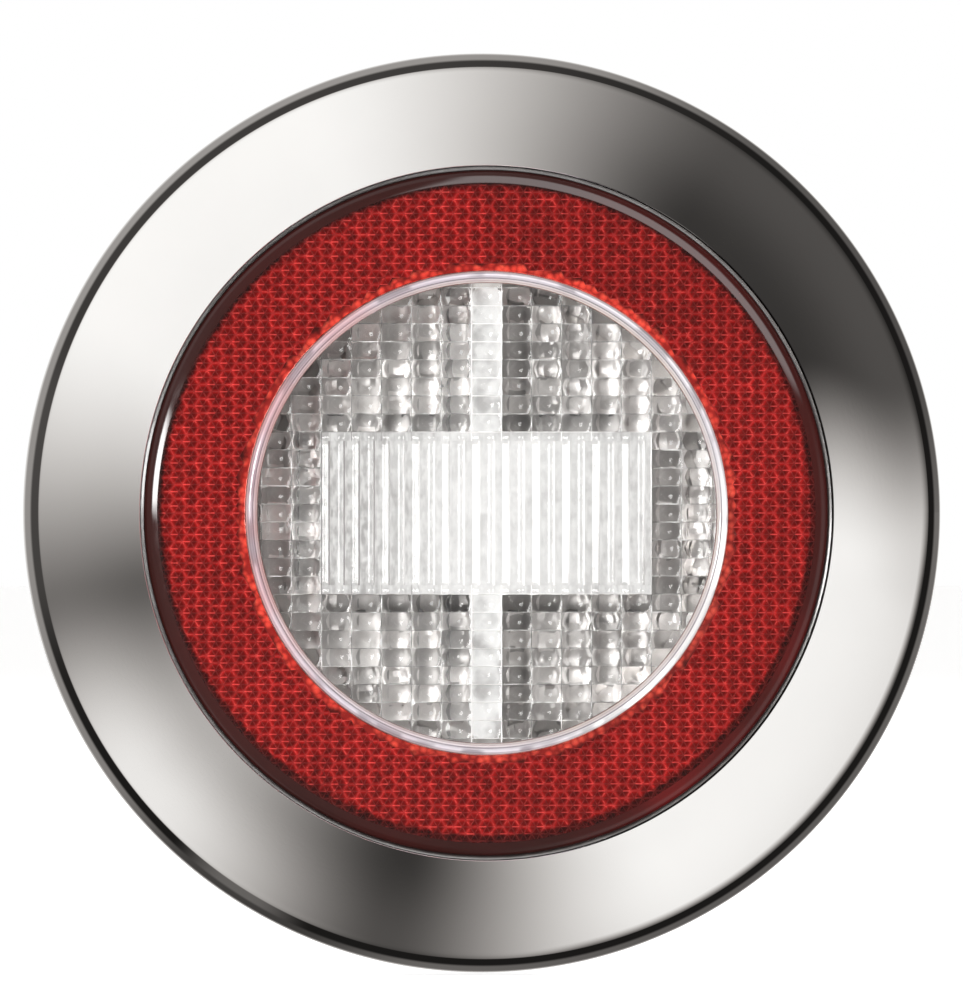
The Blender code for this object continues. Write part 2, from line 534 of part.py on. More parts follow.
def main():
    clear_scene()
    chrome = finish("chrome", (0.86, 0.86, 0.85), 0.06, metallic=1.0)
    silvered = finish("silvered", (0.80, 0.80, 0.80), 0.18, metallic=1.0)
    red = finish("red_lens", (0.48, 0.01, 0.01), 0.10)
    clear = finish("clear_lens", (0.95, 0.95, 0.94), 0.04, transmission=0.9)
    opal = finish("opal", (0.93, 0.93, 0.91), 0.45)
    grey = finish("grey_plastic", (0.42, 0.42, 0.42), 0.55)
    black = finish("black_plastic", (0.025, 0.025, 0.027), 0.50)
    rubber = finish("rubber", (0.030, 0.030, 0.030), 0.85)
    foam = finish("foam", (0.040, 0.040, 0.042), 0.95)
    board = finish("board", (0.78, 0.80, 0.78), 0.45)
    led = finish("led", (0.90, 0.80, 0.42), 0.40)
    steel = finish("steel", (0.58, 0.57, 0.55), 0.30, metallic=1.0)
    aluminium = finish("aluminium", (0.66, 0.67, 0.68), 0.35, metallic=1.0)
    brass = finish("tinned_brass", (0.72, 0.66, 0.48), 0.30, metallic=1.0)
    resin = finish("component_black", (0.035, 0.035, 0.038), 0.55)
    blue = finish("component_blue", (0.06, 0.10, 0.20), 0.45)
    membrane = finish("membrane", (0.85, 0.85, 0.84), 0.90)

    make_trim_ring(chrome)
    make_red_lens(red)
    make_clear_lens(clear)
    make_back_ring(grey)
    make_lens_seal(rubber)
    make_inner_reflector(silvered)
    make_diffuser(opal)
    make_board(board)
    make_leds(led)
    make_heat_spreader(aluminium)
    make_driver(resin, aluminium, blue)
    make_board_screws(steel)
    make_housing(black)
    make_gasket(foam)
    make_mounting_screws(steel)
    make_connector(black, rubber, steel, brass)
    make_vent(black, membrane)


main()
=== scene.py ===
"""Round rear lamp: the looks. Millimetres in the shapes below, metres in the scene and in materials."""

import json
import math

import bmesh
import bpy
import numpy as np
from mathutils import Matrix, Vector

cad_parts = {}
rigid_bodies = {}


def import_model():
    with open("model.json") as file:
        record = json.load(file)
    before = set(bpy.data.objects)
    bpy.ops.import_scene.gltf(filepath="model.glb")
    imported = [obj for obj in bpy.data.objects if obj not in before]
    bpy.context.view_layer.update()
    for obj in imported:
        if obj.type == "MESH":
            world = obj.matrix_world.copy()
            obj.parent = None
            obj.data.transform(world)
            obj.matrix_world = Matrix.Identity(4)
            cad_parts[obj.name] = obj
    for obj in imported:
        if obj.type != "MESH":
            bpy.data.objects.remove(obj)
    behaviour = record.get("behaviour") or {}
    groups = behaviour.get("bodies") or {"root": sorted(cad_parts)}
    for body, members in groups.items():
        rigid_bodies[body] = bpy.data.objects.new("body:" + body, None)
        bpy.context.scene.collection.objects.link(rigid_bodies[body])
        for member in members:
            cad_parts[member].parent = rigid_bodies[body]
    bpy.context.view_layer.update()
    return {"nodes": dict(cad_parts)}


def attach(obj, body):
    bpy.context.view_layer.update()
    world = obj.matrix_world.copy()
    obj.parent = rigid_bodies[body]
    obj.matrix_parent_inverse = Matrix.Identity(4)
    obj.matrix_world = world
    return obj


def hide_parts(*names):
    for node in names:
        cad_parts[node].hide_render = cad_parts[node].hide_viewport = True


MM = 0.001
TAU = math.tau

# Shapes are given by their radius from the lamp's axis and by y, which runs from the vehicle's
# panel at 0 into the vehicle. The front is at about -11.
LAMP_R = 70.0  # outside of the trim ring
BORE_R = 52.7  # inside of the trim ring
CLEAR_R = 36.65  # wall of the clear lens
OPTIC_R = 35.8  # edge of the field of pillows
FACE_Y = -11.0  # front of both lenses
PITCH_X, PITCH_Z = 4.56, 2.735  # the clear lens's pillows
HEX = 1.249  # side of a reflex prism
HEX_RISE = HEX * math.sqrt(3.0) / 2.0  # from one row of prism corners to the next
SCREW_ANGLES = (90.0, 210.0, 330.0)
SCREW_CIRCLE = 58.0
BOSS_CIRCLE = 39.5
SOCKET_Z = -18.0
VENT_AT = (18.0, 0.0, 20.0)

WHOLE = (1.0, 1.0, 1.0)
FRONT = (1.0, 0.0, 1.0)  # for patterns that don't change with depth

for old in list(bpy.data.objects):
    bpy.data.objects.remove(old)
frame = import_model()
scene = bpy.context.scene


# ---------- shader helpers


class Graph:
    """A short way to write node trees. shader and output are there in a material's graph."""

    def __init__(self, owner):
        owner.use_nodes = True
        self.owner = owner
        self.tree = owner.node_tree
        self.tree.nodes.clear()

    def node(self, kind, **settings):
        made = self.tree.nodes.new(kind)
        for key, value in settings.items():
            setattr(made, key, value)
        return made

    def put(self, socket, value):
        """Links or sets a socket. A colour has three numbers."""
        if isinstance(value, bpy.types.NodeSocket):
            self.tree.links.new(value, socket)
        else:
            socket.default_value = (*value, 1.0) if isinstance(value, tuple) else value

    def feed(self, node, *values, **sockets):
        """Fills a node's first sockets, and others by name. A kind makes a new node. Gives its outputs."""
        if isinstance(node, str):
            node = self.node(node)
        for socket, value in zip(node.inputs, values):
            self.put(socket, value)
        for key, value in sockets.items():
            self.put(node.inputs[key.replace("_", " ")], value)
        return node.outputs

    def drive(self, **sockets):
        self.feed(self.shader, **sockets)

    def glow(self, tone):
        """One tone for the shader's own colour and for what it gives off."""
        self.drive(Base_Color=tone, Emission_Color=tone)

    def math(self, operation, *values, clamp=False):
        made = self.node("ShaderNodeMath", operation=operation, use_clamp=clamp)
        return self.feed(made, *values)[0]

    def add(self, first, *others, clamp=False):
        for value in others:
            first = self.math("ADD", first, value, clamp=clamp)
        return first

    def sub(self, first, second, clamp=False):
        return self.math("SUBTRACT", first, second, clamp=clamp)

    def mul(self, first, *others):
        for value in others:
            first = self.math("MULTIPLY", first, value)
        return first

    def size(self, value):
        return self.math("ABSOLUTE", value)

    def hypot(self, a, b):
        return self.math("SQRT", self.add(self.mul(a, a), self.mul(b, b)))

    def step(self, value, low, high, to_low=0.0, to_high=1.0):
        """Smooth step of value from low to high."""
        made = self.node("ShaderNodeMapRange", interpolation_type="SMOOTHSTEP")
        return self.feed(made, value, low, high, to_low, to_high)[0]

    def hump(self, value, foot, top, brink, end):
        """0, rising from foot to top, 1 as far as brink, and 0 again from end."""
        return self.mul(self.step(value, foot, top), self.step(value, brink, end, 1.0, 0.0))

    def band(self, value, low, high, soft):
        """1 between low and high, 0 outside, with soft edges."""
        return self.hump(value, low - soft, low, high, high + soft)

    def wave(self, turn, mean, start, swing):
        """Sine of turn, in degrees, that crosses its mean at start."""
        angle = self.math("RADIANS", self.sub(turn, start))
        return self.add(mean, self.mul(self.math("SINE", angle), swing))

    def ramp(self, value, stops):
        made = self.node("ShaderNodeValToRGB")
        elements = made.color_ramp.elements
        while len(elements) < len(stops):
            elements.new(0.5)
        for element, (place, colour) in zip(elements, stops):
            element.position = place
            element.color = (*colour, 1.0)
        return self.feed(made, value)[0]

    def mix(self, factor, first, second, blend="MIX"):
        made = self.node("ShaderNodeMix", data_type="RGBA", blend_type=blend)
        for number, value in ((0, factor), (6, first), (7, second)):
            self.put(made.inputs[number], value)
        return made.outputs[2]

    def place(self, stretch=WHOLE):
        """The point on the object, in metres, stretched."""
        mapping = self.node("ShaderNodeMapping")
        mapping.inputs["Scale"].default_value = stretch
        self.put(mapping.inputs["Vector"], self.node("ShaderNodeTexCoord").outputs["Object"])
        return mapping.outputs[0]

    def xyz(self, point=None):
        """The three numbers of a point, or of the point on the object."""
        return self.feed("ShaderNodeSeparateXYZ", point or self.place())

    def radius(self, rise=0.0):
        """Distance from the lamp's axis, or from a line that far above it, in metres."""
        x, _, z = self.xyz()
        return self.hypot(x, self.sub(z, rise))

    def noise(self, scale, detail=3.0, roughness=0.55, stretch=WHOLE):
        sockets = {"Vector": self.place(stretch), "Scale": scale, "Detail": detail, "Roughness": roughness}
        return self.feed("ShaderNodeTexNoise", **sockets)["Fac"]

    def cells(self, scale, output="Distance", randomness=1.0, stretch=WHOLE):
        point = self.place(stretch)
        return self.feed("ShaderNodeTexVoronoi", Vector=point, Scale=scale, Randomness=randomness)[output]

    def chance(self, scale, randomness=1.0, stretch=FRONT):
        """One random number for each cell."""
        return self.feed("ShaderNodeSeparateColor", self.cells(scale, "Color", randomness, stretch))[0]

    def bump(self, height, strength, distance, **below):
        sockets = {"Height": height, "Strength": strength, "Distance": distance, **below}
        return self.feed("ShaderNodeBump", **sockets)[0]


def material(name, **sockets):
    """The graph of a new material, with one Principled node and its fixed sockets set."""
    g = Graph(bpy.data.materials.new(name))
    g.shader = g.node("ShaderNodeBsdfPrincipled")
    g.output = g.node("ShaderNodeOutputMaterial")
    g.feed(g.output, g.shader.outputs[0])
    g.drive(**sockets)
    return g


def mottled(g, colour, spread, scale):
    """Base colour that drifts a little, darker and lighter."""
    drift = g.noise(scale, 4.0)
    dark = tuple(c * (1.0 - spread) for c in colour)
    light = tuple(min(1.0, c * (1.0 + spread)) for c in colour)
    shade = g.ramp(drift, [(0.3, dark), (0.7, light)])
    g.drive(Base_Color=shade)
    return shade


# ---------- materials


def make_chrome():
    g = material("bright_plating", Metallic=1.0, Roughness=0.04)
    mottled(g, (0.90, 0.885, 0.872), 0.012, 60.0)
    scuffs = g.noise(900.0, 2.0, stretch=(1.0, 6.0, 1.0))
    g.drive(
        Roughness=g.step(g.noise(90.0, 4.0), 0.3, 0.8, 0.025, 0.06),
        Normal=g.bump(scuffs, 0.02, 0.00002),
    )
    return g.owner


def make_glass(name, colour, flow, dark, light, shadow, roughness=0.0):
    """Acrylic whose tint drifts from dark to light. Lamps light what is behind it, tinted by shadow."""
    g = material(name, Roughness=roughness, IOR=1.49, Transmission_Weight=1.0, Base_Color=colour)
    g.drive(Base_Color=g.mix(g.noise(flow, 2.0), dark, light))
    clear = g.feed("ShaderNodeBsdfTransparent", shadow)[0]
    lamps = g.node("ShaderNodeLightPath").outputs["Is Shadow Ray"]
    g.feed(g.output, g.feed("ShaderNodeMixShader", lamps, g.shader.outputs[0], clear)[0])
    return g.owner


def make_shoulder():
    """Red rim, so thick that it looks nearly black, with a glossy skin. Redder patches at the lower right
    are a painted glow of light through the red.
    """
    g = material("deep_red_shoulder", Roughness=0.06, IOR=1.49, Specular_IOR_Level=0.36)
    x, _, z = g.xyz()
    # Painted glow: patches redder where light shines through the red, only at the lower right.
    lower = g.mul(g.step(z, -0.010, -0.030), g.step(x, -0.012, 0.006))
    drift = g.mul(g.step(g.noise(24.0), 0.38, 0.66), g.add(0.16, g.mul(lower, 0.84)))
    g.drive(
        Base_Color=g.mix(drift, (0.028, 0.008, 0.007), (0.115, 0.010, 0.010)),
        Roughness=g.step(g.noise(150.0, 2.0), 0.3, 0.7, 0.04, 0.09),
    )
    return g.owner


def make_land():
    """Flat rim outside the shoulder, smoky and streaked, lighter towards its edge."""
    g = material("smoked_land", Roughness=0.22, IOR=1.49, Coat_Weight=0.3, Coat_Roughness=0.05)
    streaks = g.mul(g.step(g.noise(260.0, 4.0), 0.3, 0.7), 0.4)
    light = g.sub(g.step(g.radius(), 0.05205, 0.0525), streaks, clamp=True)
    g.drive(Base_Color=g.mix(light, (0.022, 0.016, 0.015), (0.20, 0.19, 0.185)))
    return g.owner


def prism_tone(g, dark, light):
    """Fine mottling from prism to prism, a little darker at the top right of the seam."""
    both = g.add(g.mul(g.chance(620.0), 0.6), g.mul(g.noise(55.0, 2.0, stretch=FRONT), 0.5))
    x, _, z = g.xyz()
    side = g.mul(g.step(x, -0.0003, 0.0003), g.step(z, 0.015, 0.04))
    both = g.sub(both, g.mul(side, 0.22))
    return g.mix(g.math("MAXIMUM", both, 0.0), dark, light)


def from_hexagon(g):
    """Distance from the middle of the nearest hexagon of prisms, in metres."""
    wide, tall = 1.5 * HEX * MM, HEX_RISE * MM
    x, _, z = g.xyz()
    x = g.math("PINGPONG", g.size(x), wide)
    z = g.math("PINGPONG", g.size(z), tall)
    return g.math("MINIMUM", g.hypot(x, z), g.hypot(g.sub(wide, x), g.sub(tall, z)))


def rim_fade(g):
    """1 over the field and less beside the shoulder, more raggedly on the left."""
    ragged = g.step(g.xyz()[0], 0.0, -0.02, 0.0003, 0.0013)
    shift = g.mul(g.sub(g.noise(700.0, 1.0, stretch=FRONT), 0.5), ragged)
    return g.step(g.add(g.radius(0.0004), shift), 0.0490, 0.0496, 1.0, 0.16)


def make_prism():
    """Facets, dark in a disc round each hexagon's middle and redder between the discs."""
    g = material("prism_facet", Roughness=0.16, IOR=1.6, Metallic=0.35)
    disc = g.step(from_hexagon(g), 0.00066, 0.00100)
    dark = prism_tone(g, (0.140, 0.011, 0.011), (0.38, 0.032, 0.034))
    tone = g.mix(disc, dark, prism_tone(g, (0.42, 0.042, 0.046), (0.76, 0.090, 0.096)))
    g.drive(
        Base_Color=g.mix(rim_fade(g), (0.02, 0.003, 0.003), tone),
        Roughness=g.step(g.noise(500.0, 2.0), 0.2, 0.8, 0.12, 0.26),
    )
    return g.owner


def make_prism_edge(name, dark, light, dashes, inside):
    """Lines of the mesh, glowing as painted highlights of the prisms' edges, fainter inside the discs,
    pinker and duller in short lengths.
    """
    g = material(name, Roughness=0.3, IOR=1.5, Emission_Strength=0.30)
    dash = g.step(g.noise(760.0, 2.0, stretch=(1.0, 0.0, 2.2)), 0.50, 0.66)
    tone = g.mix(g.mul(dash, dashes), prism_tone(g, dark, light), (0.90, 0.34, 0.33))
    disc = g.step(from_hexagon(g), 0.00070, 0.00105, inside, 1.0)
    # Painted highlight: the edge lines give off their own tone.
    g.glow(g.mix(g.mul(disc, rim_fade(g)), (0.030, 0.004, 0.004), tone))
    return g.owner


def make_prism_bed():
    """Bright beside the clear lens, where light leaks in, and dark under the shoulder."""
    g = material("prism_bed", Roughness=0.25, IOR=1.5, Emission_Strength=0.30)
    r = g.add(g.radius(), g.mul(g.sub(g.noise(420.0), 0.5), 0.0036))
    flecks = [(0.12, (0.93, 0.36, 0.24)), (0.40, (0.78, 0.19, 0.14)), (0.70, (0.34, 0.05, 0.045))]
    warm = g.ramp(g.cells(900.0, stretch=FRONT), flecks)
    g.glow(g.mix(g.step(r, 0.0374, 0.0385), warm, (0.06, 0.008, 0.008)))
    return g.owner


def make_collar():
    """Clear rim that pipes light, with the light painted: fine rings of lavender, pink and grey, a painted
    white highlight at the lower right, and a faint glow.
    """
    g = material("lit_collar", Roughness=0.08, IOR=1.49, Coat_Weight=0.4, Emission_Strength=0.10)
    inner_edge, rings_per_metre = 0.03480, 540.0
    r = g.mul(g.sub(g.radius(), inner_edge), rings_per_metre)
    rings = [
        (0.00, (0.05, 0.03, 0.03)),
        (0.08, (0.24, 0.12, 0.11)),
        (0.14, (0.54, 0.47, 0.45)),
        (0.24, (0.33, 0.25, 0.26)),
        (0.34, (0.50, 0.42, 0.43)),
        (0.41, (0.34, 0.30, 0.32)),
        (0.45, (0.07, 0.06, 0.07)),
        (0.49, (0.37, 0.32, 0.35)),
        (0.62, (0.43, 0.38, 0.43)),
        (0.74, (0.57, 0.50, 0.54)),
        (0.84, (0.33, 0.27, 0.31)),
        (0.93, (0.52, 0.42, 0.43)),
    ]
    tone = g.ramp(r, rings)
    x, _, z = g.xyz()
    # Painted highlight: the right half is brighter.
    tone = g.mix(g.step(x, -0.02, 0.03), tone, (1.12, 1.20, 1.14), "MULTIPLY")
    tone = g.mix(g.step(g.noise(45.0), 0.4, 0.65, 0.0, 0.35), tone, (0.53, 0.50, 0.53))
    smudge = g.noise(110.0, 2.0, stretch=FRONT)
    outer = g.step(g.size(g.sub(r, 0.74)), 0.10, 0.24, 0.75, 0.12)
    tone = g.mix(g.mul(g.step(smudge, 0.50, 0.58), outer), tone, (0.19, 0.165, 0.18))
    # Painted pink tint on the left, where the red lens shows through the clear rim.
    pink = g.mul(g.step(x, -0.008, -0.024), g.step(g.noise(70.0, 2.0), 0.35, 0.6))
    tone = g.mix(pink, tone, (0.98, 0.70, 0.68), "MULTIPLY")
    # Painted highlight: a white band on the outer rings at the lower right, less where smudged.
    white = g.mul(g.step(x, 0.008, 0.024), g.step(z, 0.012, -0.008), g.band(r, 0.55, 0.88, 0.10))
    g.glow(g.mix(g.mul(white, g.step(smudge, 0.46, 0.56, 1.0, 0.45)), tone, (0.98, 0.98, 0.95)))
    return g.owner


def make_silvered():
    """Plated pan, with a tone of its own behind each pillow."""
    g = material("vacuum_silver", Metallic=1.0, Roughness=0.12)
    shade = mottled(g, (0.93, 0.90, 0.88), 0.05, 70.0)
    pillow = g.chance(1.0, 0.0, (1.0 / (PITCH_X * MM), 0.0, 1.0 / (PITCH_Z * MM)))
    g.drive(
        Base_Color=g.mix(g.step(pillow, 0.1, 0.95, 0.56, 1.0), (0.0, 0.0, 0.0), shade),
        Roughness=g.step(g.noise(140.0), 0.25, 0.75, 0.30, 0.46),
        Normal=g.bump(g.noise(300.0, 2.0), 0.15, 0.0004),
    )
    return g.owner


def make_opal():
    """White diffuser with plated sides; its glow is painted light, brightest in the middle. Faint upright
    lines and blotches show in it.
    """
    g = material("opal_acrylic", Roughness=0.4, IOR=1.49, Emission_Strength=0.60)
    x, y, z = g.xyz()
    high = g.size(z)
    streak = g.step(g.noise(1500.0, 2.0, stretch=(1.0, 0.0, 0.3)), 0.40, 0.62)
    beads = g.step(g.noise(620.0, 2.0, stretch=FRONT), 0.42, 0.62)
    ends = g.add(g.step(x, -0.002, -0.022), g.step(x, 0.004, 0.025, 0.28, 0.62))
    window = g.step(high, 0.0118, 0.0122, 1.0, 0.0)
    mark = g.add(g.mul(streak, ends, g.mul(window, 0.55)), g.mul(beads, ends, 0.20))
    cloud = g.noise(210.0, stretch=FRONT)
    blot = g.mul(g.step(cloud, 0.42, 0.66), g.step(high, 0.010, 0.014, 0.25, 0.95))
    # Painted light: the glow is brighter round the middle of the window.
    bright = g.mix(g.step(g.size(x), 0.003, 0.014, 1.0, 0.0), (1.06, 1.05, 1.03), (1.20, 1.19, 1.17))
    tone = g.mix(g.add(mark, blot, clamp=True), bright, (0.42, 0.40, 0.39))
    face = g.step(y, -0.0069, -0.0066, 1.0, 0.0)
    face = g.math("MAXIMUM", face, g.step(high, 0.0328, 0.0332))
    g.drive(
        Emission_Color=g.mix(face, (0.0, 0.0, 0.0), tone),
        Base_Color=g.mix(cloud, (0.20, 0.20, 0.20), (0.26, 0.26, 0.26)),
        Metallic=g.sub(1.0, face),
    )
    return g.owner


def make_valley():
    """Seams between the pillows, glowing with painted highlights, brighter and duller along their length.
    """
    g = material("seam_painted_light", Roughness=0.5, IOR=1.49, Emission_Strength=0.25)
    stops = [(0.38, (0.16, 0.155, 0.15)), (0.52, (0.38, 0.37, 0.36)), (0.66, (0.92, 0.92, 0.91))]
    # Painted highlight: the seams give off their own tone.
    g.glow(g.ramp(g.noise(330.0), stops))
    return g.owner


def make_groove():
    """Grooves between the flutes, glowing with painted light: grey at the window's ends and pale in its
    middle.
    """
    g = material("flute_groove", Roughness=0.35, IOR=1.49, Emission_Strength=0.30)
    x = g.xyz()[0]
    reach = g.sub(g.mul(g.math("MAXIMUM", x, 0.0), 1.45), x)
    run = g.mul(g.noise(500.0, stretch=(1.0, 1.0, 0.4)), -0.010)
    each = g.sub(g.noise(420.0, 1.0, stretch=(1.0, 0.0, 0.05)), 0.5)
    reach = g.add(reach, run, g.mul(each, 0.026))
    # Painted light: pale in the middle of the window, grey towards its ends.
    g.glow(g.mix(g.step(reach, -0.006, 0.016), (0.95, 0.94, 0.93), (0.24, 0.225, 0.22)))
    return g.owner


def make_moulding(name, colour, roughness, grain=900.0, depth=0.00003):
    """Moulded plastic with a fine eroded texture and faint flow marks."""
    g = material(name, Roughness=roughness, IOR=1.5)
    mottled(g, colour, 0.18, 55.0)
    texture = g.noise(grain, 3.0, 0.6)
    flow = g.bump(g.noise(120.0, 2.0, stretch=(1.0, 0.35, 1.0)), 0.2, 0.0001)
    g.drive(
        Roughness=g.step(texture, 0.3, 0.7, roughness - 0.08, roughness + 0.1),
        Normal=g.bump(texture, 0.35, depth, Normal=flow),
    )
    return g.owner


def make_foam():
    g = material("closed_cell_foam", Roughness=0.95)
    pores = g.cells(1900.0)
    shade = g.ramp(pores, [(0.05, (0.012, 0.012, 0.013)), (0.55, (0.052, 0.052, 0.055))])
    g.drive(Base_Color=shade, Normal=g.bump(pores, 0.7, 0.0003))
    return g.owner


def make_rubber():
    g = material("moulded_rubber", Roughness=0.8, IOR=1.5)
    mottled(g, (0.028, 0.028, 0.029), 0.3, 150.0)
    g.drive(Normal=g.bump(g.noise(1500.0), 0.4, 0.00005))
    return g.owner


def make_metal(name, colour, roughness, scale, stretch=WHOLE):
    """Worked metal with a grain along its shortest stretch and small stains."""
    g = material(name, Metallic=1.0, Roughness=roughness)
    mottled(g, colour, 0.1, 180.0)
    grain = g.noise(scale, 4.0, 0.65, stretch)
    g.drive(
        Roughness=g.step(grain, 0.25, 0.75, roughness - 0.1, roughness + 0.14),
        Normal=g.bump(grain, 0.25, 0.00004),
    )
    return g.owner


def make_board():
    """White solder mask with faint copper areas under it."""
    g = material("solder_mask", Roughness=0.4, IOR=1.5, Coat_Weight=0.2)
    copper = g.feed(
        "ShaderNodeTexBrick",
        Vector=g.place((220.0, 220.0, 220.0)),
        Color1=(0.74, 0.76, 0.74),
        Color2=(0.80, 0.82, 0.80),
        Mortar=(0.62, 0.64, 0.61),
        Mortar_Size=0.03,
    )
    g.drive(Base_Color=copper["Color"], Normal=g.bump(g.noise(1200.0, 2.0), 0.2, 0.00003))
    return g.owner


def make_phosphor():
    g = material("phosphor", Roughness=0.45, IOR=1.5)
    grains = g.noise(2500.0)
    shade = g.mix(grains, (0.82, 0.66, 0.16), (0.95, 0.86, 0.42))
    g.drive(Base_Color=shade, Normal=g.bump(grains, 0.3, 0.00003))
    return g.owner


def make_membrane():
    g = material("vent_cloth", Roughness=0.9)
    weave = g.cells(2600.0, randomness=0.3)
    shade = g.ramp(weave, [(0.0, (0.9, 0.9, 0.89)), (0.6, (0.62, 0.62, 0.61))])
    g.drive(Base_Color=shade, Normal=g.bump(weave, 0.5, 0.0001))
    return g.owner


CHROME = make_chrome()
RED_SHELL = make_glass(
    "red_acrylic",
    colour=(0.93, 0.30, 0.28),
    flow=40.0,
    dark=(0.91, 0.46, 0.42),
    light=(0.97, 0.56, 0.51),
    shadow=(0.90, 0.28, 0.26),
    roughness=0.02,
)
SHOULDER = make_shoulder()
LAND = make_land()
PRISM = make_prism()
PRISM_EDGE = make_prism_edge("prism_edge", (0.17, 0.030, 0.033), (0.42, 0.085, 0.095), 0.35, 0.45)
PRISM_DASH = make_prism_edge("prism_dash", (0.36, 0.09, 0.095), (0.80, 0.26, 0.27), 0.5, 0.85)
PRISM_BED = make_prism_bed()
CLEAR = make_glass(
    "clear_acrylic",
    colour=(0.985, 0.985, 0.98),
    flow=30.0,
    dark=(0.975, 0.975, 0.968),
    light=(0.992, 0.992, 0.99),
    shadow=(0.95, 0.95, 0.95),
)
COLLAR = make_collar()
VALLEY = make_valley()
GROOVE = make_groove()
SILVERED = make_silvered()
OPAL = make_opal()
BLACK = make_moulding("black_moulding", (0.034, 0.034, 0.036), 0.42)
SMOOTH_BLACK = make_moulding("connector_moulding", (0.026, 0.026, 0.028), 0.32, 1500.0, 0.00002)
GREY = make_moulding("grey_moulding", (0.42, 0.42, 0.42), 0.5)
RESIN = make_moulding("moulding_compound", (0.035, 0.035, 0.038), 0.5, 2500.0, 0.00002)
BLUE = make_moulding("resistor_film", (0.06, 0.10, 0.22), 0.4, 2500.0, 0.00002)
FOAM = make_foam()
RUBBER = make_rubber()
STEEL = make_metal("zinc_plated_steel", (0.62, 0.61, 0.58), 0.28, 1200.0)
ALUMINIUM = make_metal("rolled_aluminium", (0.70, 0.71, 0.72), 0.34, 120.0, (1.0, 1.0, 30.0))
BRASS = make_metal("tinned_brass_strip", (0.74, 0.69, 0.54), 0.28, 120.0, (30.0, 1.0, 30.0))
BOARD = make_board()
PHOSPHOR = make_phosphor()
MEMBRANE = make_membrane()


# ---------- mesh helpers

# A shape is a pair: points, an array in millimetres, and faces, lists of point numbers.


def shape_object(name, shape, materials, slots=None, sharp=35.0):
    """A mesh object of the shape, smooth except at edges of more than sharp degrees."""
    points, faces = shape
    mesh = bpy.data.meshes.new(name)
    mesh.from_pydata((np.asarray(points, float) * MM).tolist(), [], faces)
    if slots is not None:
        mesh.polygons.foreach_set("material_index", np.asarray(slots, np.int32))
    work = bmesh.new()
    work.from_mesh(mesh)
    bmesh.ops.remove_doubles(work, verts=work.verts, dist=1e-7)
    bmesh.ops.recalc_face_normals(work, faces=work.faces)
    work.to_mesh(mesh)
    work.free()
    mesh.shade_smooth()
    mesh.set_sharp_from_angle(angle=math.radians(sharp))
    for item in materials:
        mesh.materials.append(item)
    made = bpy.data.objects.new(name, mesh)
    scene.collection.objects.link(made)
    return made


def declare(piece, node, body="lamp"):
    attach(piece, body)
    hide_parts(node)


def build(node, slot, name, shape, materials, body="lamp", **looks):
    """A mesh object of the shape, in place of a CAD node."""
    declare(shape_object(name, shape, materials, **looks), node, body)


def rounded(section, radius, steps=3):
    """The closed section with its corners rounded by curves of about that radius."""
    made = []
    for i, point in enumerate(section):
        here = Vector(point)
        back, on = Vector(section[i - 1]) - here, Vector(section[(i + 1) % len(section)]) - here
        reach = min(radius, 0.45 * back.length, 0.45 * on.length)
        start, end = here + back.normalized() * reach, here + on.normalized() * reach
        for k in range(steps + 1):
            t = k / steps
            made.append(tuple(start * (1 - t) ** 2 + here * (2 * t * (1 - t)) + end * t**2))
    return made


def between(ring, onward):
    """Faces between two closed rings of point numbers."""
    return list(zip(ring, ring[1:] + ring[:1], onward[1:] + onward[:1], onward))


def skinned(rows, count, closed=False):
    """Faces between rows of count points each. The ends are joined if closed, and capped if not."""
    rings = np.arange(rows * count).reshape(rows, count).tolist()
    faces = []
    for ring, onward in zip(rings, rings[1:] + rings[:closed]):
        faces += between(ring, onward)
    return faces if closed else faces + [tuple(rings[0]), tuple(rings[-1])]


def spun(section, segments, bend=None):
    """The closed (radius, y) section turned about the lamp's axis."""
    angles = np.arange(segments) * TAU / segments
    profile = np.array(section, float)
    r = np.repeat(profile[None, :, 0], segments, 0)
    y = np.repeat(profile[None, :, 1], segments, 0)
    phi = np.repeat(angles[:, None], len(profile), 1)
    if bend is not None:
        r, y = bend(r, y, phi)
    points = np.stack([r * np.cos(phi), y, r * np.sin(phi)], -1).reshape(-1, 3)
    return points, skinned(segments, len(profile), closed=True)


def bricked(size, bevel=0.2):
    """A box with rounded edges, centred on its origin."""
    work = bmesh.new()
    bmesh.ops.create_cube(work, size=1.0)
    bmesh.ops.scale(work, verts=work.verts, vec=size)
    if bevel:
        bmesh.ops.bevel(work, geom=work.edges, offset=bevel, segments=2, affect="EDGES", profile=0.5)
    work.verts.index_update()
    points = np.array([v.co for v in work.verts])
    faces = [tuple(v.index for v in f.verts) for f in work.faces]
    work.free()
    return points, faces


def at(shape, place):
    points, faces = shape
    return points + np.array(place), faces


def spoke(shape, radius, degrees, y=0.0):
    """The shape moved out to a radius and turned about the lamp's axis, from +X towards +Z."""
    points, faces = at(shape, (radius, y, 0.0))
    c, s = math.cos(math.radians(degrees)), math.sin(math.radians(degrees))
    x, z = points[:, 0], points[:, 2]
    return np.stack([x * c - z * s, points[:, 1], x * s + z * c], -1), faces


def spokes(shape, radius, turns, y=0.0):
    """The shape at each of those turns."""
    return [spoke(shape, radius, degrees, y) for degrees in turns]


def joined(*shapes):
    """Several shapes as one."""
    points, faces, start = [], [], 0
    for some_points, some_faces in shapes:
        points.append(some_points)
        faces += [tuple(i + start for i in f) for f in some_faces]
        start += len(some_points)
    return np.concatenate(points), faces


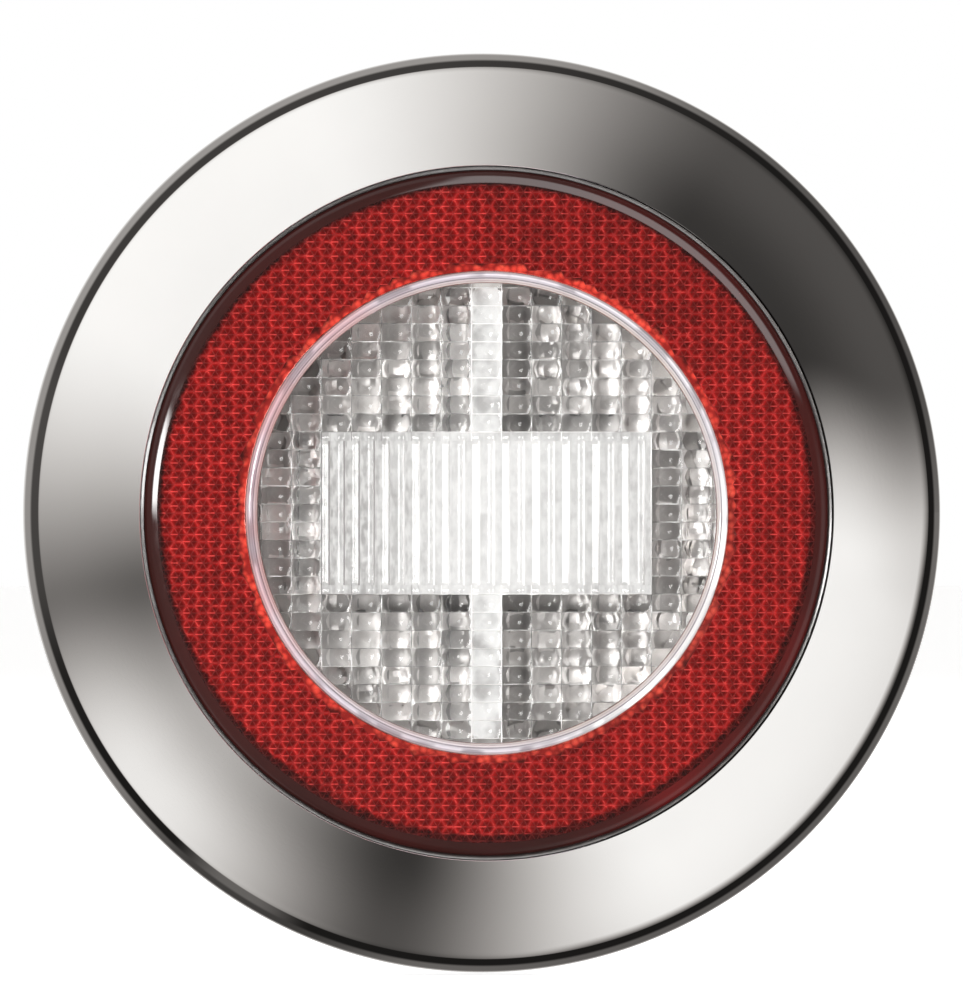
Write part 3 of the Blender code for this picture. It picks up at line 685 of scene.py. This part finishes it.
def circle_band(xs, zs, height, inner_r, rows):
    """A height field over a grid, trimmed to a circle, whose border runs on through rows of (radius, y).

    The last row closes with one flat face.
    """
    gx, gz = np.meshgrid(xs, zs, indexing="ij")
    level = height(gx, gz)
    keep = np.hypot(gx, gz) < inner_r
    quads = keep[:-1, :-1] & keep[1:, :-1] & keep[:-1, 1:] & keep[1:, 1:]
    number = np.arange(gx.size).reshape(gx.shape)
    i, j = np.nonzero(quads)
    faces = np.stack([number[i, j], number[i + 1, j], number[i + 1, j + 1], number[i, j + 1]], -1)
    points = np.stack([gx.ravel(), level.ravel(), gz.ravel()], -1)
    used = np.unique(faces)
    renumber = np.full(gx.size, -1)
    renumber[used] = np.arange(len(used))
    points, faces = points[used], renumber[faces]

    pairs = np.concatenate([faces[:, [k, (k + 1) % 4]] for k in range(4)])
    keys, counts = np.unique(pairs.min(1) * len(points) + pairs.max(1), return_counts=True)
    single = keys[counts == 1]
    ring = np.unique(np.concatenate([single // len(points), single % len(points)]))
    angle = np.arctan2(points[ring, 2], points[ring, 0])
    order = np.argsort(angle)
    ring, angle = ring[order].tolist(), angle[order]
    count = len(ring)
    faces = [tuple(f) for f in faces.tolist()]
    made = [points]
    total = len(points)
    for r, y in rows:
        radius = r(angle) if callable(r) else np.full(count, float(r))
        made.append(np.stack([radius * np.cos(angle), np.full(count, y), radius * np.sin(angle)], -1))
        onward = list(range(total, total + count))
        total += count
        faces += between(ring, onward)
        ring = onward
    return np.concatenate(made), faces + [tuple(ring)]


def scatter(value, gain):
    """A number from 0 to 1 that jumps about as value changes."""
    value = np.sin(value) * gain
    return value - np.floor(value)


# ---------- trim ring


def make_trim_ring():
    """Slightly crowned cone, creased skirt, chamfered lip and six clip legs."""
    wall, lip_y, chamfer = 1.8, -11.2, 0.1
    roll_r, middle_r, middle_y = 5.0, 65.0, -1.5

    def roll(radius, first, last, steps):
        """Arc round the middle of the rolled edge, in degrees from straight forward."""
        tilts = [math.radians(first + (last - first) * i / steps) for i in range(steps + 1)]
        return [(middle_r + radius * math.sin(t), middle_y - radius * math.cos(t)) for t in tilts]

    crease = roll(roll_r, 35.0, 35.0, 1)[0]
    slope = (crease[1] - lip_y) / (crease[0] - BORE_R - 0.3)
    lip = (BORE_R + chamfer, lip_y - (0.3 - chamfer) * slope)
    shoulder_y = lip[1] + slope * (BORE_R + 1.5 - lip[0]) + wall * math.hypot(1.0, slope)

    section = [(LAMP_R - wall, -0.5), (LAMP_R - 0.15, -0.5), (LAMP_R, -0.65)]
    section += roll(roll_r, 90.0, 37.0, 14)
    start = (crease[0] - 0.10, crease[1] - 0.045)
    for k in range(15):
        t = k / 14
        crown = 0.28 * t * (1.0 - t)
        section.append((start[0] + (lip[0] - start[0]) * t, start[1] + (lip[1] - start[1]) * t - crown))
    section += [(BORE_R, lip[1] + chamfer), (BORE_R, -7.7), (BORE_R + 0.1, -7.6)]
    section += [(BORE_R + 1.4, -7.6), (BORE_R + 1.5, -7.7), (BORE_R + 1.5, shoulder_y)]
    section += roll(roll_r - wall, 35.0, 90.0, 8)

    leg = bricked((1.4, 5.1, 8.0), 0.25)
    gusset = bricked((1.3, 2.0, 1.0), 0.15)
    legs = []
    for i in range(6):
        turn = (i + 0.5) * 60.0
        legs.append(spoke(leg, 64.4, turn, -3.45))
        for side in (2.6, -2.6):
            legs.append(spoke(at(gusset, (0.0, 0.0, side)), 65.4, turn, -4.6))
    shape = joined(spun(section, 360), *legs)
    build("trim_ring", "chrome", "trim_ring_bright", shape, [CHROME], "trim", sharp=28.0)


# ---------- red lens


def make_red_lens():
    """Smooth outer shell with a land and a rounded shoulder, and the prism field inside it."""
    home = ("red_reflector_lens", "red_lens")
    rim = [(51.4, -6.2), (52.58, -6.2), (52.58, -9.9), (52.1, -9.95), (52.02, -10.15)]
    rim += [(51.95, -10.35), (51.8, -10.52), (51.55, -10.66), (51.15, -10.79), (50.7, -10.90)]
    rim += [(50.3, -10.97)]
    rest = [(50.0, FACE_Y), (49.5, FACE_Y), (37.4, FACE_Y), (36.85, FACE_Y), (36.75, -10.9), (36.75, -10.5)]
    rest += [(36.8, -10.45), (51.25, -10.40), (51.35, -10.3), (51.4, -8.5)]
    shell = spun(rim + rest, 300)
    kinds = (0, 0, 1, 1) + (2,) * 7 + (0,) * len(rest)  # clear red, land, shoulder
    slots = [kinds[k % len(kinds)] for k in range(len(shell[1]))]
    build(*home, "red_lens_shell", shell, [RED_SHELL, LAND, SHOULDER], slots=slots, sharp=30.0)

    bed = [(36.75, -9.42), (51.2, -9.42), (51.2, -8.6), (36.75, -8.6)]
    build(*home, "prism_bed", spun(rounded(bed, 0.08, 2), 240), [PRISM_BED])
    shape, slots = prism_field()
    build(*home, "reflex_prisms", shape, [PRISM, PRISM_EDGE, PRISM_DASH], slots=slots, sharp=10.0)


def prism_field():
    """Cube-corner prisms on a triangular mesh, with their materials: facet, edge or dashed edge.

    The dashed edges are mirrored at the seam over the lens's middle.
    """
    middle_y, depth = -9.92, 0.36
    inner_r, outer_r = 37.3, 51.2
    points, faces, slots = [], [], []

    def spot(i, j):
        return (HEX * (i + j / 2.0), HEX_RISE * j)

    reach = int(51.0 / HEX * 1.3)
    around = [(1, 0), (0, 1), (-1, 1), (-1, 0), (0, -1), (1, -1)]
    for j in range(-reach, reach + 1):
        for i in range(-2 * reach, 2 * reach + 1):
            if (i - j) % 3 or not inner_r - 1.3 < math.hypot(*spot(i, j)) < outer_r + 1.0:
                continue
            outward = ((0, 0), (5, 2)) if spot(i, j)[0] > 0.0 else ((3, 0), (2, 2))
            for k in range(6):
                a, b = around[k], around[(k + 1) % 6]
                corners = []
                for u, v in ((i, j), (i + a[0], j + a[1]), (i + b[0], j + b[1])):
                    x, z = spot(u, v)
                    level = (depth, 0.0, -depth)[(u - v) % 3]
                    corners.append(np.array([x, middle_y - level, z]))
                spread = [math.hypot(c[0], c[2]) for c in corners]
                if min(spread) < inner_r or max(spread) > outer_r:
                    continue
                middle = sum(corners) / 3.0
                start = len(points)
                points += corners
                points += [middle + (c - middle) * 0.72 + np.array([0.0, 0.05, 0.0]) for c in corners]
                faces.append((start + 3, start + 4, start + 5))
                slots.append(0)
                for n in range(3):
                    m = (n + 1) % 3
                    faces.append((start + n, start + m, start + 3 + m, start + 3 + n))
                    slots.append(2 if (k, n) in outward else 1)
    return (points, faces), slots


# ---------- clear lens


def pillows(x, z):
    """Back of the clear lens: pillows, with upright flutes in the window."""
    column = np.round(x / PITCH_X)
    row = np.round(z / PITCH_Z)
    chance = scatter(column * 12.9898 + row * 78.233, 43758.5453)
    other = scatter(column * 39.425 + row * 11.135, 24634.6345)
    dx = x - column * PITCH_X
    dz = z - row * PITCH_Z
    ball = 3.3 + 0.6 * chance
    reach = np.minimum(np.hypot(dx, dz), 1.95)
    pillow = np.sqrt(ball**2 - reach**2) - ball
    steep = other > 0.74
    tipped = (chance - 0.5) * dx + (other - 0.5) * np.where(steep, 1.4, 0.8) * dz
    pillow = pillow + np.where(steep, 0.15, 0.055) * tipped

    half = PITCH_X / 2.0
    flute_x = x / half + 0.5
    flute_x = (flute_x - np.floor(flute_x) - 0.5) * half
    flute = np.sqrt(2.1**2 - flute_x**2) - 2.1 - 0.22
    wave = np.sqrt(2.4**2 - flute_x**2 - (np.abs(z) - 11.6) ** 2) - 2.4 - 0.28

    wide, tall = 5.5 * PITCH_X + 0.01, 4.5 * PITCH_Z + 0.01
    inside = (np.abs(x) < wide) & (np.abs(z) < 4.0 * PITCH_Z - 0.01)
    border = (np.abs(x) < wide) & (np.abs(z) < tall) & ~inside
    return -8.5 + np.where(inside, flute, np.where(border, wave, pillow))


def optic_slot(x, z):
    """Material at a place given in pillows: 0 clear, 1 seam between pillows, 2 pale groove."""
    off_x, off_z = abs(x - math.floor(x) - 0.5), abs(z - math.floor(z) - 0.5)
    if abs(x) < 5.48 and abs(z) < 3.98:  # the fluted window
        return 2 if abs(off_x - 0.25) < 0.031 else 0
    if off_x >= 0.017 and off_z >= 0.022:
        return 0
    # Seams in the bright cross get the pale groove, painted light.
    lit = abs(x) < 0.52 or (abs(x) < 5.52 and abs(z) < 4.52)
    return 2 if lit else 1


def make_clear_lens():
    cuts_x = (0.0, 0.0165, 0.10, 0.22, 0.28, 0.38, 0.5, 0.56, 0.61, 0.66, 0.72, 0.78, 0.90, 0.9835)
    cuts_z = (0.0, 0.021, 0.18, 0.32, 0.41, 0.5, 0.59, 0.68, 0.82, 0.979)
    xs = np.array([k + cut - 8.5 for k in range(17) for cut in cuts_x] + [8.5]) * PITCH_X
    zs = np.array([k + cut - 13.5 for k in range(27) for cut in cuts_z] + [13.5]) * PITCH_Z
    rows = [(36.1, -9.0), (36.85, -8.7), (36.85, -4.8), (38.25, -4.8), (38.25, -8.2), (CLEAR_R, -8.2)]
    rows += [(CLEAR_R, -10.9), (36.55, FACE_Y)]
    points, faces = circle_band(xs, zs, pillows, OPTIC_R, rows)
    far = np.hypot(points[:, 0], points[:, 2])
    slots = []
    for face in faces:
        corners = list(face)
        if len(face) > 4 or far[corners].max() > OPTIC_R:
            slots.append(0)
        else:
            middle = points[corners].mean(0)
            slots.append(optic_slot(middle[0] / PITCH_X, middle[2] / PITCH_Z))
    home = ("clear_centre_lens", "clear_lens")
    shape = (points, faces)
    build(*home, "clear_lens_optic", shape, [CLEAR, VALLEY, GROOVE], slots=slots, sharp=32.0)

    section = [(34.85, -11.03), (34.87, -11.35), (35.02, -11.72), (35.25, -11.90), (35.45, -11.93)]
    section += [(35.55, -11.84), (35.66, -11.84), (35.76, -11.95), (36.0, -12.0), (36.25, -11.97)]
    section += [(36.45, -11.84), (36.58, -11.6), (36.64, -11.3), (CLEAR_R, -11.03)]
    build(*home, "clear_lens_collar", spun(section, 300), [COLLAR], sharp=40.0)


# ---------- reflector pan


def make_pan():
    """Silvered pan whose floor is a field of shallow pyramids and whose wall is fluted."""
    side = [2.9 + 3.783 * k for k in range(7)] + [28.6, 31.6, 34.6]
    tall = [12.75 + 3.64 * k for k in range(7)]
    low = [-12.75 + 3.643 * k for k in range(1, 7)]
    edges_x = np.array(sorted([-v for v in side] + side))
    edges_z = np.array(sorted([-v for v in tall] + low + tall))

    def fine(edges):
        return np.concatenate([np.linspace(a, b, 5)[:-1] for a, b in zip(edges, edges[1:])] + [edges[-1:]])

    def locate(value, edges):
        """Number of the cell, and how far across it the value is."""
        i = np.clip(np.searchsorted(edges, value + 1e-6) - 1, 0, len(edges) - 2)
        return i, (value - edges[i]) / (edges[i + 1] - edges[i])

    def facets(x, z):
        i, u = locate(x, edges_x)
        j, v = locate(z, edges_z)
        chance = scatter(i * 91.17 + j * 47.51, 15731.743)
        lean = 2.0 * scatter(i * 57.31 + j * 23.17, 9631.417) - 1.0
        bulge = 1.0 - np.maximum(np.abs(2.0 * u - 1.0), np.abs(2.0 * v - 1.0))
        bulge = bulge * (1.0 + 0.9 * lean * (2.0 * u - 1.0) + 1.6 * (chance - 0.5) * (2.0 * v - 1.0))
        cross = (np.abs(x) <= 2.95) | ((np.abs(x) <= 25.7) & (np.abs(z) <= 12.8))
        return 5.0 - np.where(cross, 0.0, (0.08 + 0.34 * chance) * bulge)

    def fluted(base):
        return lambda a: base - 0.35 * np.abs(np.sin(18.0 * a))

    rows = [(34.4, 5.0), (fluted(34.9), 4.6), (fluted(35.5), 0.0), (fluted(36.0), -4.2), (36.4, -4.5)]
    rows += [(48.7, -4.5), (48.9, -4.3), (48.9, -3.5), (48.7, -3.3), (37.6, -3.3), (35.9, 6.0), (35.7, 6.2)]
    shape = circle_band(fine(edges_x), fine(edges_z), facets, 34.3, rows)
    build("inner_reflector", "silvered", "silvered_pan", shape, [SILVERED], sharp=12.0)


# ---------- housing and its back


def drilled(piece, shape, name, sharp):
    """Cuts a shape out of the piece, for good."""
    tool = shape_object(name, shape, [])
    modifier = piece.modifiers.new(name, "BOOLEAN")
    modifier.solver = "EXACT"
    modifier.object = tool
    graph = bpy.context.evaluated_depsgraph_get()
    mesh = bpy.data.meshes.new_from_object(piece.evaluated_get(graph))
    mesh.set_sharp_from_angle(angle=math.radians(sharp))
    piece.modifiers.remove(modifier)
    piece.data = mesh
    bpy.data.objects.remove(tool)


def make_housing():
    """Flanged cup with a drafted wall, tapered ribs, bosses and a stepped floor."""
    outer = [(0.02, 26.0), (13.0, 26.0), (13.2, 25.75), (44.6, 25.75), (44.8, 26.0), (46.0, 26.0)]
    outer += [(46.9, 25.7), (47.5, 25.0), (47.72, 24.2), (48.45, -1.6), (48.9, -2.2), (49.4, -2.3)]
    outer += [(62.7, -2.3), (63.0, -2.6), (63.0, -4.6), (62.7, -4.9), (52.5, -4.9), (52.5, -3.6)]
    outer += [(50.0, -3.6), (50.0, -4.9), (49.2, -4.9), (49.2, -3.0), (46.5, -3.0), (45.8, 23.4)]
    outer += [(45.2, 24.0), (0.02, 24.0)]
    cone = [(0.001, -6.0), (4.0, -6.0), (4.0, -4.9), (2.25, -3.15), (2.25, -1.0), (0.001, -1.0)]
    vent_hole = [(0.001, 22.0), (2.0, 22.0), (2.0, 28.0), (0.001, 28.0)]
    holes = spokes(spun(cone, 40), SCREW_CIRCLE, SCREW_ANGLES)
    holes.append(at(bricked((18.2, 10.0, 10.2), 0.0), (0.0, 26.0, SOCKET_Z)))
    holes.append(at(spun(vent_hole, 32), VENT_AT))
    sharp = 28.0
    piece = shape_object("lamp_housing", spun(outer, 216), [BLACK], sharp=sharp)
    drilled(piece, joined(*holes), "housing_holes", sharp)
    declare(piece, "housing")

    points, faces = bricked((1.6, 22.0, 1.6), 0.35)
    lean = (points[:, 1] + 11.0) / 22.0
    points[:, 0] -= 0.55 * lean
    points[:, 2] *= 1.0 - 0.25 * lean
    shapes = spokes((points, faces), 48.5, range(0, 360, 30), 8.3)
    boss = [(1.5, 11.7), (4.05, 11.7), (4.2, 11.85), (4.35, 24.3), (1.5, 24.3)]
    shapes += spokes(spun(boss, 32), BOSS_CIRCLE, SCREW_ANGLES)
    pad = rounded([(0.02, 26.2), (2.6, 26.2), (2.6, 25.6), (0.02, 25.6)], 0.12, 2)
    shapes += spokes(spun(pad, 28), 40.5, (35.0, 145.0, 215.0, 325.0))
    ridge = rounded([(28.6, 26.1), (29.4, 26.1), (29.4, 25.5), (28.6, 25.5)], 0.15, 2)
    shapes.append(spun(ridge, 180))
    build("housing", "black_plastic", "housing_ribs", joined(*shapes), [BLACK], sharp=40.0)


def make_gasket():
    """Foam ring, its outer edge slightly uneven as a cut one is."""
    section = rounded([(49.8, 0.0), (63.0, 0.0), (63.0, -2.0), (49.8, -2.0)], 0.3)

    def uneven(r, y, phi):
        ripple = 0.04 * np.sin(7.0 * phi) + 0.03 * np.sin(23.0 * phi)
        return r + np.where(r > 60.0, ripple, 0.0) - 0.08 * (r > 60.0), y

    build("panel_gasket", "foam", "foam_gasket", spun(section, 240, uneven), [FOAM])


def threaded(root_r, crest_r, front_y, rear_y, pitch, segments=28):
    """A threaded shank with a point at its rear end."""
    rows = int((rear_y - front_y) / pitch * 8) + 1
    ys = np.linspace(front_y, rear_y, rows)
    phi = np.arange(segments) * TAU / segments
    yy, pp = np.meshgrid(ys, phi, indexing="ij")
    turn = yy / pitch - pp / TAU
    saw = np.abs((turn - np.floor(turn)) * 2.0 - 1.0)
    tip = np.clip((rear_y - yy) / 2.6, 0.02, 1.0)
    head = np.clip((yy - front_y) / 1.2, 0.0, 1.0)
    r = (root_r + (crest_r - root_r) * np.clip(saw * 2.0 - 1.0, 0.0, 1.0) * head) * tip**0.7
    points = np.stack([r * np.cos(pp), yy, r * np.sin(pp)], -1).reshape(-1, 3)
    return points, skinned(rows, segments)


def lobed(socket_r):
    """Bend that turns the round socket of that radius into a six-lobed one."""

    def bend(r, y, phi):
        near = np.abs(r - socket_r) < 1e-6
        return np.where(near, r * (1.0 + 0.13 * np.cos(6.0 * phi)), r), y

    return bend


def make_screws():
    head = [(0.001, -3.4), (1.8, -3.4), (1.8, -4.8), (3.55, -4.8), (3.7, -4.65), (1.95, -2.9)]
    head += [(0.001, -2.9)]
    panel_screw = joined(spun(head, 48, lobed(1.8)), threaded(1.35, 1.95, -2.95, 18.0, 1.4))
    seat = 29.9
    head = [(0.001, seat + 0.6), (1.1, seat + 0.6), (1.1, seat + 1.6), (1.8, seat + 1.6)]
    head += [(2.15, seat + 1.4), (2.36, seat + 0.9), (2.4, seat), (0.001, seat)]
    shank = [(0.001, 20.4), (0.7, 20.8), (1.0, 21.4), (1.0, seat + 0.1), (0.001, seat + 0.1)]
    socket_screw = joined(spun(head, 48, lobed(1.1)), spun(shank, 24))

    for i, shape in enumerate(spokes(panel_screw, SCREW_CIRCLE, SCREW_ANGLES), 1):
        build(f"mounting_screw_{i}", "steel", f"panel_screw_{i}", shape, [STEEL], sharp=40.0)
    for i, x in enumerate((-15.0, 15.0), 1):
        shape = at(socket_screw, (x, 0.0, SOCKET_Z))
        build(f"connector_screw_{i}", "steel", f"socket_screw_{i}", shape, [STEEL], sharp=40.0)


def lofted(*rows):
    """A loft of rounded rectangles across the lamp's axis, given as (width, height, corner, y)."""
    steps = 6
    points = []
    for width, tall, corner, y in rows:
        for sx, sz, first in ((1, 1, 0), (-1, 1, 90), (-1, -1, 180), (1, -1, 270)):
            cx, cz = sx * (width / 2 - corner), sz * (tall / 2 - corner)
            for k in range(steps + 1):
                t = math.radians(first + 90.0 * k / steps)
                points.append((cx + corner * math.cos(t), y, cz + corner * math.sin(t)))
    return np.array(points), skinned(len(rows), len(points) // len(rows))


def make_connector():
    """Two-pole socket: rounded flange, tapered walls with a beaded rim, keys and a latch."""
    wide = (38.0, 16.0, 3.2)
    flange = lofted((37.4, 15.4, 3.0, 27.6), (*wide, 27.9), (*wide, 29.2), (37.4, 15.4, 3.0, 29.6))
    bead, wall, bore = (22.0, 14.0, 1.6), (21.5, 13.5, 1.4), (18.0, 10.0, 0.7)
    rows = [(*bead, 29.0), (*bead, 30.0), (*wall, 30.6), (*wall, 39.4), (*bead, 39.8), (*bead, 40.7)]
    rows += [(21.4, 13.4, 1.4, 41.0), (18.6, 10.6, 0.9, 41.0), (*bore, 40.6), (*bore, 31.0)]
    shapes = [flange, lofted(*rows), lofted((17.6, 9.6, 0.6, 22.4), (17.6, 9.6, 0.6, 28.0))]
    key = bricked((1.0, 7.0, 1.2), 0.2)
    shapes += [at(key, (x, 35.5, 4.6)) for x in (-6.5, 6.5)]
    latch = bricked((6.0, 3.0, 2.4), 0.25)
    latch[0][:, 2] -= 0.35 * np.clip(latch[0][:, 1] / 1.5, 0.0, 1.0)
    shapes.append(at(latch, (0.0, 37.0, 7.0)))
    rib = bricked((0.9, 5.0, 10.0), 0.25)
    shapes += [at(rib, (x, 31.0, 0.0)) for x in (-11.34, 11.34)]
    shell = at(joined(*shapes), (0.0, 0.0, SOCKET_Z))
    build("connector_shell", "black_plastic", "socket_shell", shell, [SMOOTH_BLACK])

    seal = lofted((37.8, 15.8, 3.2, 26.3), (*wide, 26.5), (*wide, 27.1), (37.8, 15.8, 3.2, 27.3))
    build("connector_seal", "rubber", "socket_seal", at(seal, (0.0, 0.0, SOCKET_Z)), [RUBBER])


def make_vent():
    """Round breather cap with a dished top and eight side slots."""
    section = [(4.6, 26.3), (6.0, 26.3), (6.0, 28.7), (5.85, 29.1), (5.5, 29.3), (4.4, 29.3)]
    section += [(4.1, 29.0), (0.02, 28.95), (0.02, 28.0), (4.6, 28.0)]

    def slotted(r, y, phi):
        gap = (np.cos(8.0 * phi) > 0.8) & (y < 27.0)
        return r, np.where(gap, 27.0, y)

    cap = at(spun(section, 96, slotted), VENT_AT)
    build("vent_cap", "black_plastic", "breather_cap", cap, [SMOOTH_BLACK], sharp=30.0)


# ---------- build


make_trim_ring()
make_red_lens()
make_clear_lens()
make_pan()
make_housing()
make_gasket()
make_screws()
make_connector()
make_vent()

# Materials of the CAD nodes that stay, by the start of their names. The first that fits counts.
FINISHES = {
    "reflector_back_ring": GREY,
    "lens_seal": RUBBER,
    "diffuser_insert": OPAL,
    "led_board": BOARD,
    "heat_spreader": ALUMINIUM,
    "driver_": RESIN,
    "polarity_diode": RESIN,
    "current_resistor": BLUE,
    "input_capacitor": ALUMINIUM,
    "board_screw": STEEL,
    "led_": PHOSPHOR,
    "contact_pin": BRASS,
    "vent_membrane": MEMBRANE,
}
for node_name, node in frame["nodes"].items():
    finish = next((item for start, item in FINISHES.items() if node_name.startswith(start)), None)
    if finish is not None:
        for item in node.material_slots:
            item.link = "OBJECT"
            item.material = finish


# ---------- world, floor, lights, camera


def make_world():
    """Studio round the lamp, as a brightness for each direction.

    far is the angle from the lamp's front direction, and turn the angle round its axis, from
    the right over the top, both in degrees.
    """
    world = bpy.data.worlds.new("studio")
    scene.world = world
    g = Graph(world)
    x, y, z = g.xyz(g.node("ShaderNodeTexCoord").outputs["Generated"])
    far = g.math("DEGREES", g.math("ARCCOSINE", g.mul(y, -1.0)))
    turn = g.math("FRACT", g.add(g.math("DIVIDE", g.math("ARCTAN2", z, x), TAU), 1.0))
    turn = g.mul(turn, 360.0)

    # What the trim ring's cone reflects: bright panels over dark gaps, a little wider further out.
    sideways = g.math("COSINE", g.math("RADIANS", turn))
    out = g.step(g.sub(far, g.mul(sideways, 4.0)), 40.8, 44.5)
    base = g.add(0.041, g.mul(out, 0.045), g.mul(g.band(turn, 186.0, 194.0, 26.0), 0.055))
    upper = g.hump(turn, 50.0, 111.0, 150.0, 197.0)
    lower = g.mul(g.hump(turn, 190.0, 220.0, 224.0, 262.0), g.add(0.44, g.mul(out, 0.38)))
    lag = g.add(2.0, g.mul(out, 8.0))
    right = g.step(turn, g.sub(355.0, lag), g.sub(386.0, lag), 1.0, 0.0)
    wrapped = g.step(turn, g.sub(-5.0, lag), g.sub(26.0, lag), 1.0, 0.0)
    right = g.add(g.mul(right, g.step(turn, 263.0, 303.0)), wrapped)
    panels = g.add(g.mul(g.add(upper, right), 0.97), lower, base)

    # Dim surroundings beside the lamp, and the room before and behind it.
    side = g.add(0.012, g.mul(g.hump(turn, 40.0, 100.0, 130.0, 225.0), 0.042))
    low_left = g.mul(g.band(turn, 238.0, 242.0, 9.0), 0.13)
    side = g.add(side, low_left, g.mul(g.band(turn, 168.0, 188.0, 16.0), 0.035))
    dips = g.add(g.band(turn, 18.0, 48.0, 26.0), g.mul(g.band(turn, 234.0, 250.0, 18.0), 1.2))
    rear = g.mul(g.wave(turn, 0.24, 35.0, 0.12), g.sub(1.0, g.mul(dips, 0.58)))
    sooner = g.add(far, g.mul(g.band(turn, 290.0, 350.0, 12.0), 4.0))
    tone = g.mix(g.step(far, 30.0, 36.0), g.wave(turn, 0.30, 110.0, 0.12), panels)
    tone = g.mix(g.step(sooner, 48.0, 64.0), tone, side)
    tone = g.mix(g.step(far, 97.0, 112.0), tone, rear)
    tone = g.mix(g.step(far, 138.0, 165.0), tone, (0.75, 0.75, 0.75))
    tone = g.mix(1.0, tone, g.mix(tone, (1.0, 0.945, 0.905), (1.0, 1.0, 0.99)), "MULTIPLY")

    # Strip lights: seen by which rays, how bright, and where in turn and in far (from, to, soft).
    path = g.node("ShaderNodeLightPath").outputs
    depth = path["Transmission Depth"]
    direct = g.mul(path["Is Glossy Ray"], g.math("LESS_THAN", depth, 0.5))
    other = g.sub(1.0, direct)
    inner = g.mul(path["Is Transmission Ray"], g.math("LESS_THAN", depth, 2.5))
    strips = (
        (other, 12.0, (141.0, 174.0, 6.0), (17.0, 31.0, 2.5)),
        (direct, 42.0, (162.0, 177.0, 4.0), (8.0, 22.0, 3.0)),
        (other, 2.0, (16.0, 78.0, 7.0), (25.0, 29.0, 2.5)),
        (direct, 5.0, (22.0, 84.0, 6.0), (14.0, 31.0, 5.0)),
        (inner, 30.0, (134.0, 182.0, 6.0), (16.0, 36.0, 3.0)),
    )
    glare = [g.mul(g.band(turn, *a), g.band(far, *b), rays, power) for rays, power, a, b in strips]
    tone = g.mix(1.0, tone, g.add(*glare), "ADD")
    tone = g.mix(path["Is Camera Ray"], tone, (1.0, 1.0, 1.0))
    g.feed("ShaderNodeOutputWorld", g.feed("ShaderNodeBackground", tone)[0])


def make_floor():
    g = material("pale_floor", Roughness=0.7, Emission_Strength=0.72, Emission_Color=(1.0, 1.0, 1.0))
    mottled(g, (0.80, 0.80, 0.80), 0.01, 3.0)
    mesh = bpy.data.meshes.new("floor")
    half = 9.0
    corners = [(-half, -half, 0), (half, -half, 0), (half, half, 0), (-half, half, 0)]
    mesh.from_pydata(corners, [], [(0, 1, 2, 3)])
    mesh.materials.append(g.owner)
    floor = bpy.data.objects.new("floor", mesh)
    floor.location = (0.0, 0.0, -0.0704)
    hide(floor)
    scene.collection.objects.link(floor)


def hide(thing):
    """Keeps the thing out of reflections and of what is seen through glass."""
    thing.visible_glossy = False
    thing.visible_transmission = False


def aim(thing, target):
    """Turns the thing to the target and adds it to the scene."""
    thing.rotation_mode = "QUATERNION"
    thing.rotation_quaternion = (target - thing.location).to_track_quat("-Z", "Y")
    scene.collection.objects.link(thing)


def area_lamp(name, place, size, power):
    """A soft lamp that lights the lamp's surfaces without being seen in them."""
    data = bpy.data.lights.new(name, "AREA")
    data.shape = "RECTANGLE"
    data.size, data.size_y = size
    data.energy = power
    lamp = bpy.data.objects.new(name, data)
    lamp.location = place
    lamp.visible_camera = False
    hide(lamp)
    aim(lamp, Vector())


def make_camera():
    """Long lens, level with the lamp, a little to the left of its axis."""
    distance, turn = 2.0, math.radians(-4.0)
    sensor, pixels = 36.0, 1000.0  # of the picture's longer side
    per_metre = 6564.0  # pixels on the photo, in the plane 1.5 mm nearer than the target
    data = bpy.data.cameras.new("camera")
    data.sensor_width = sensor
    data.lens = per_metre * sensor * (distance - 0.0015) / pixels
    data.clip_start, data.clip_end = 0.1, 50.0
    camera = bpy.data.objects.new("camera", data)
    target = Vector((-0.00009, 0.0, 0.00198))
    camera.location = target + Vector((math.sin(turn), -math.cos(turn), 0.0)) * distance
    aim(camera, target)
    scene.camera = camera


make_world()
make_floor()
area_lamp("key", (-0.9, -1.6, 1.3), (1.2, 0.8), 22.0)
area_lamp("fill", (1.3, -1.2, 0.3), (1.0, 1.0), 8.0)
area_lamp("rear", (0.3, 1.5, 1.7), (1.4, 0.8), 30.0)
make_camera()
scene.view_settings.view_transform = "Standard"
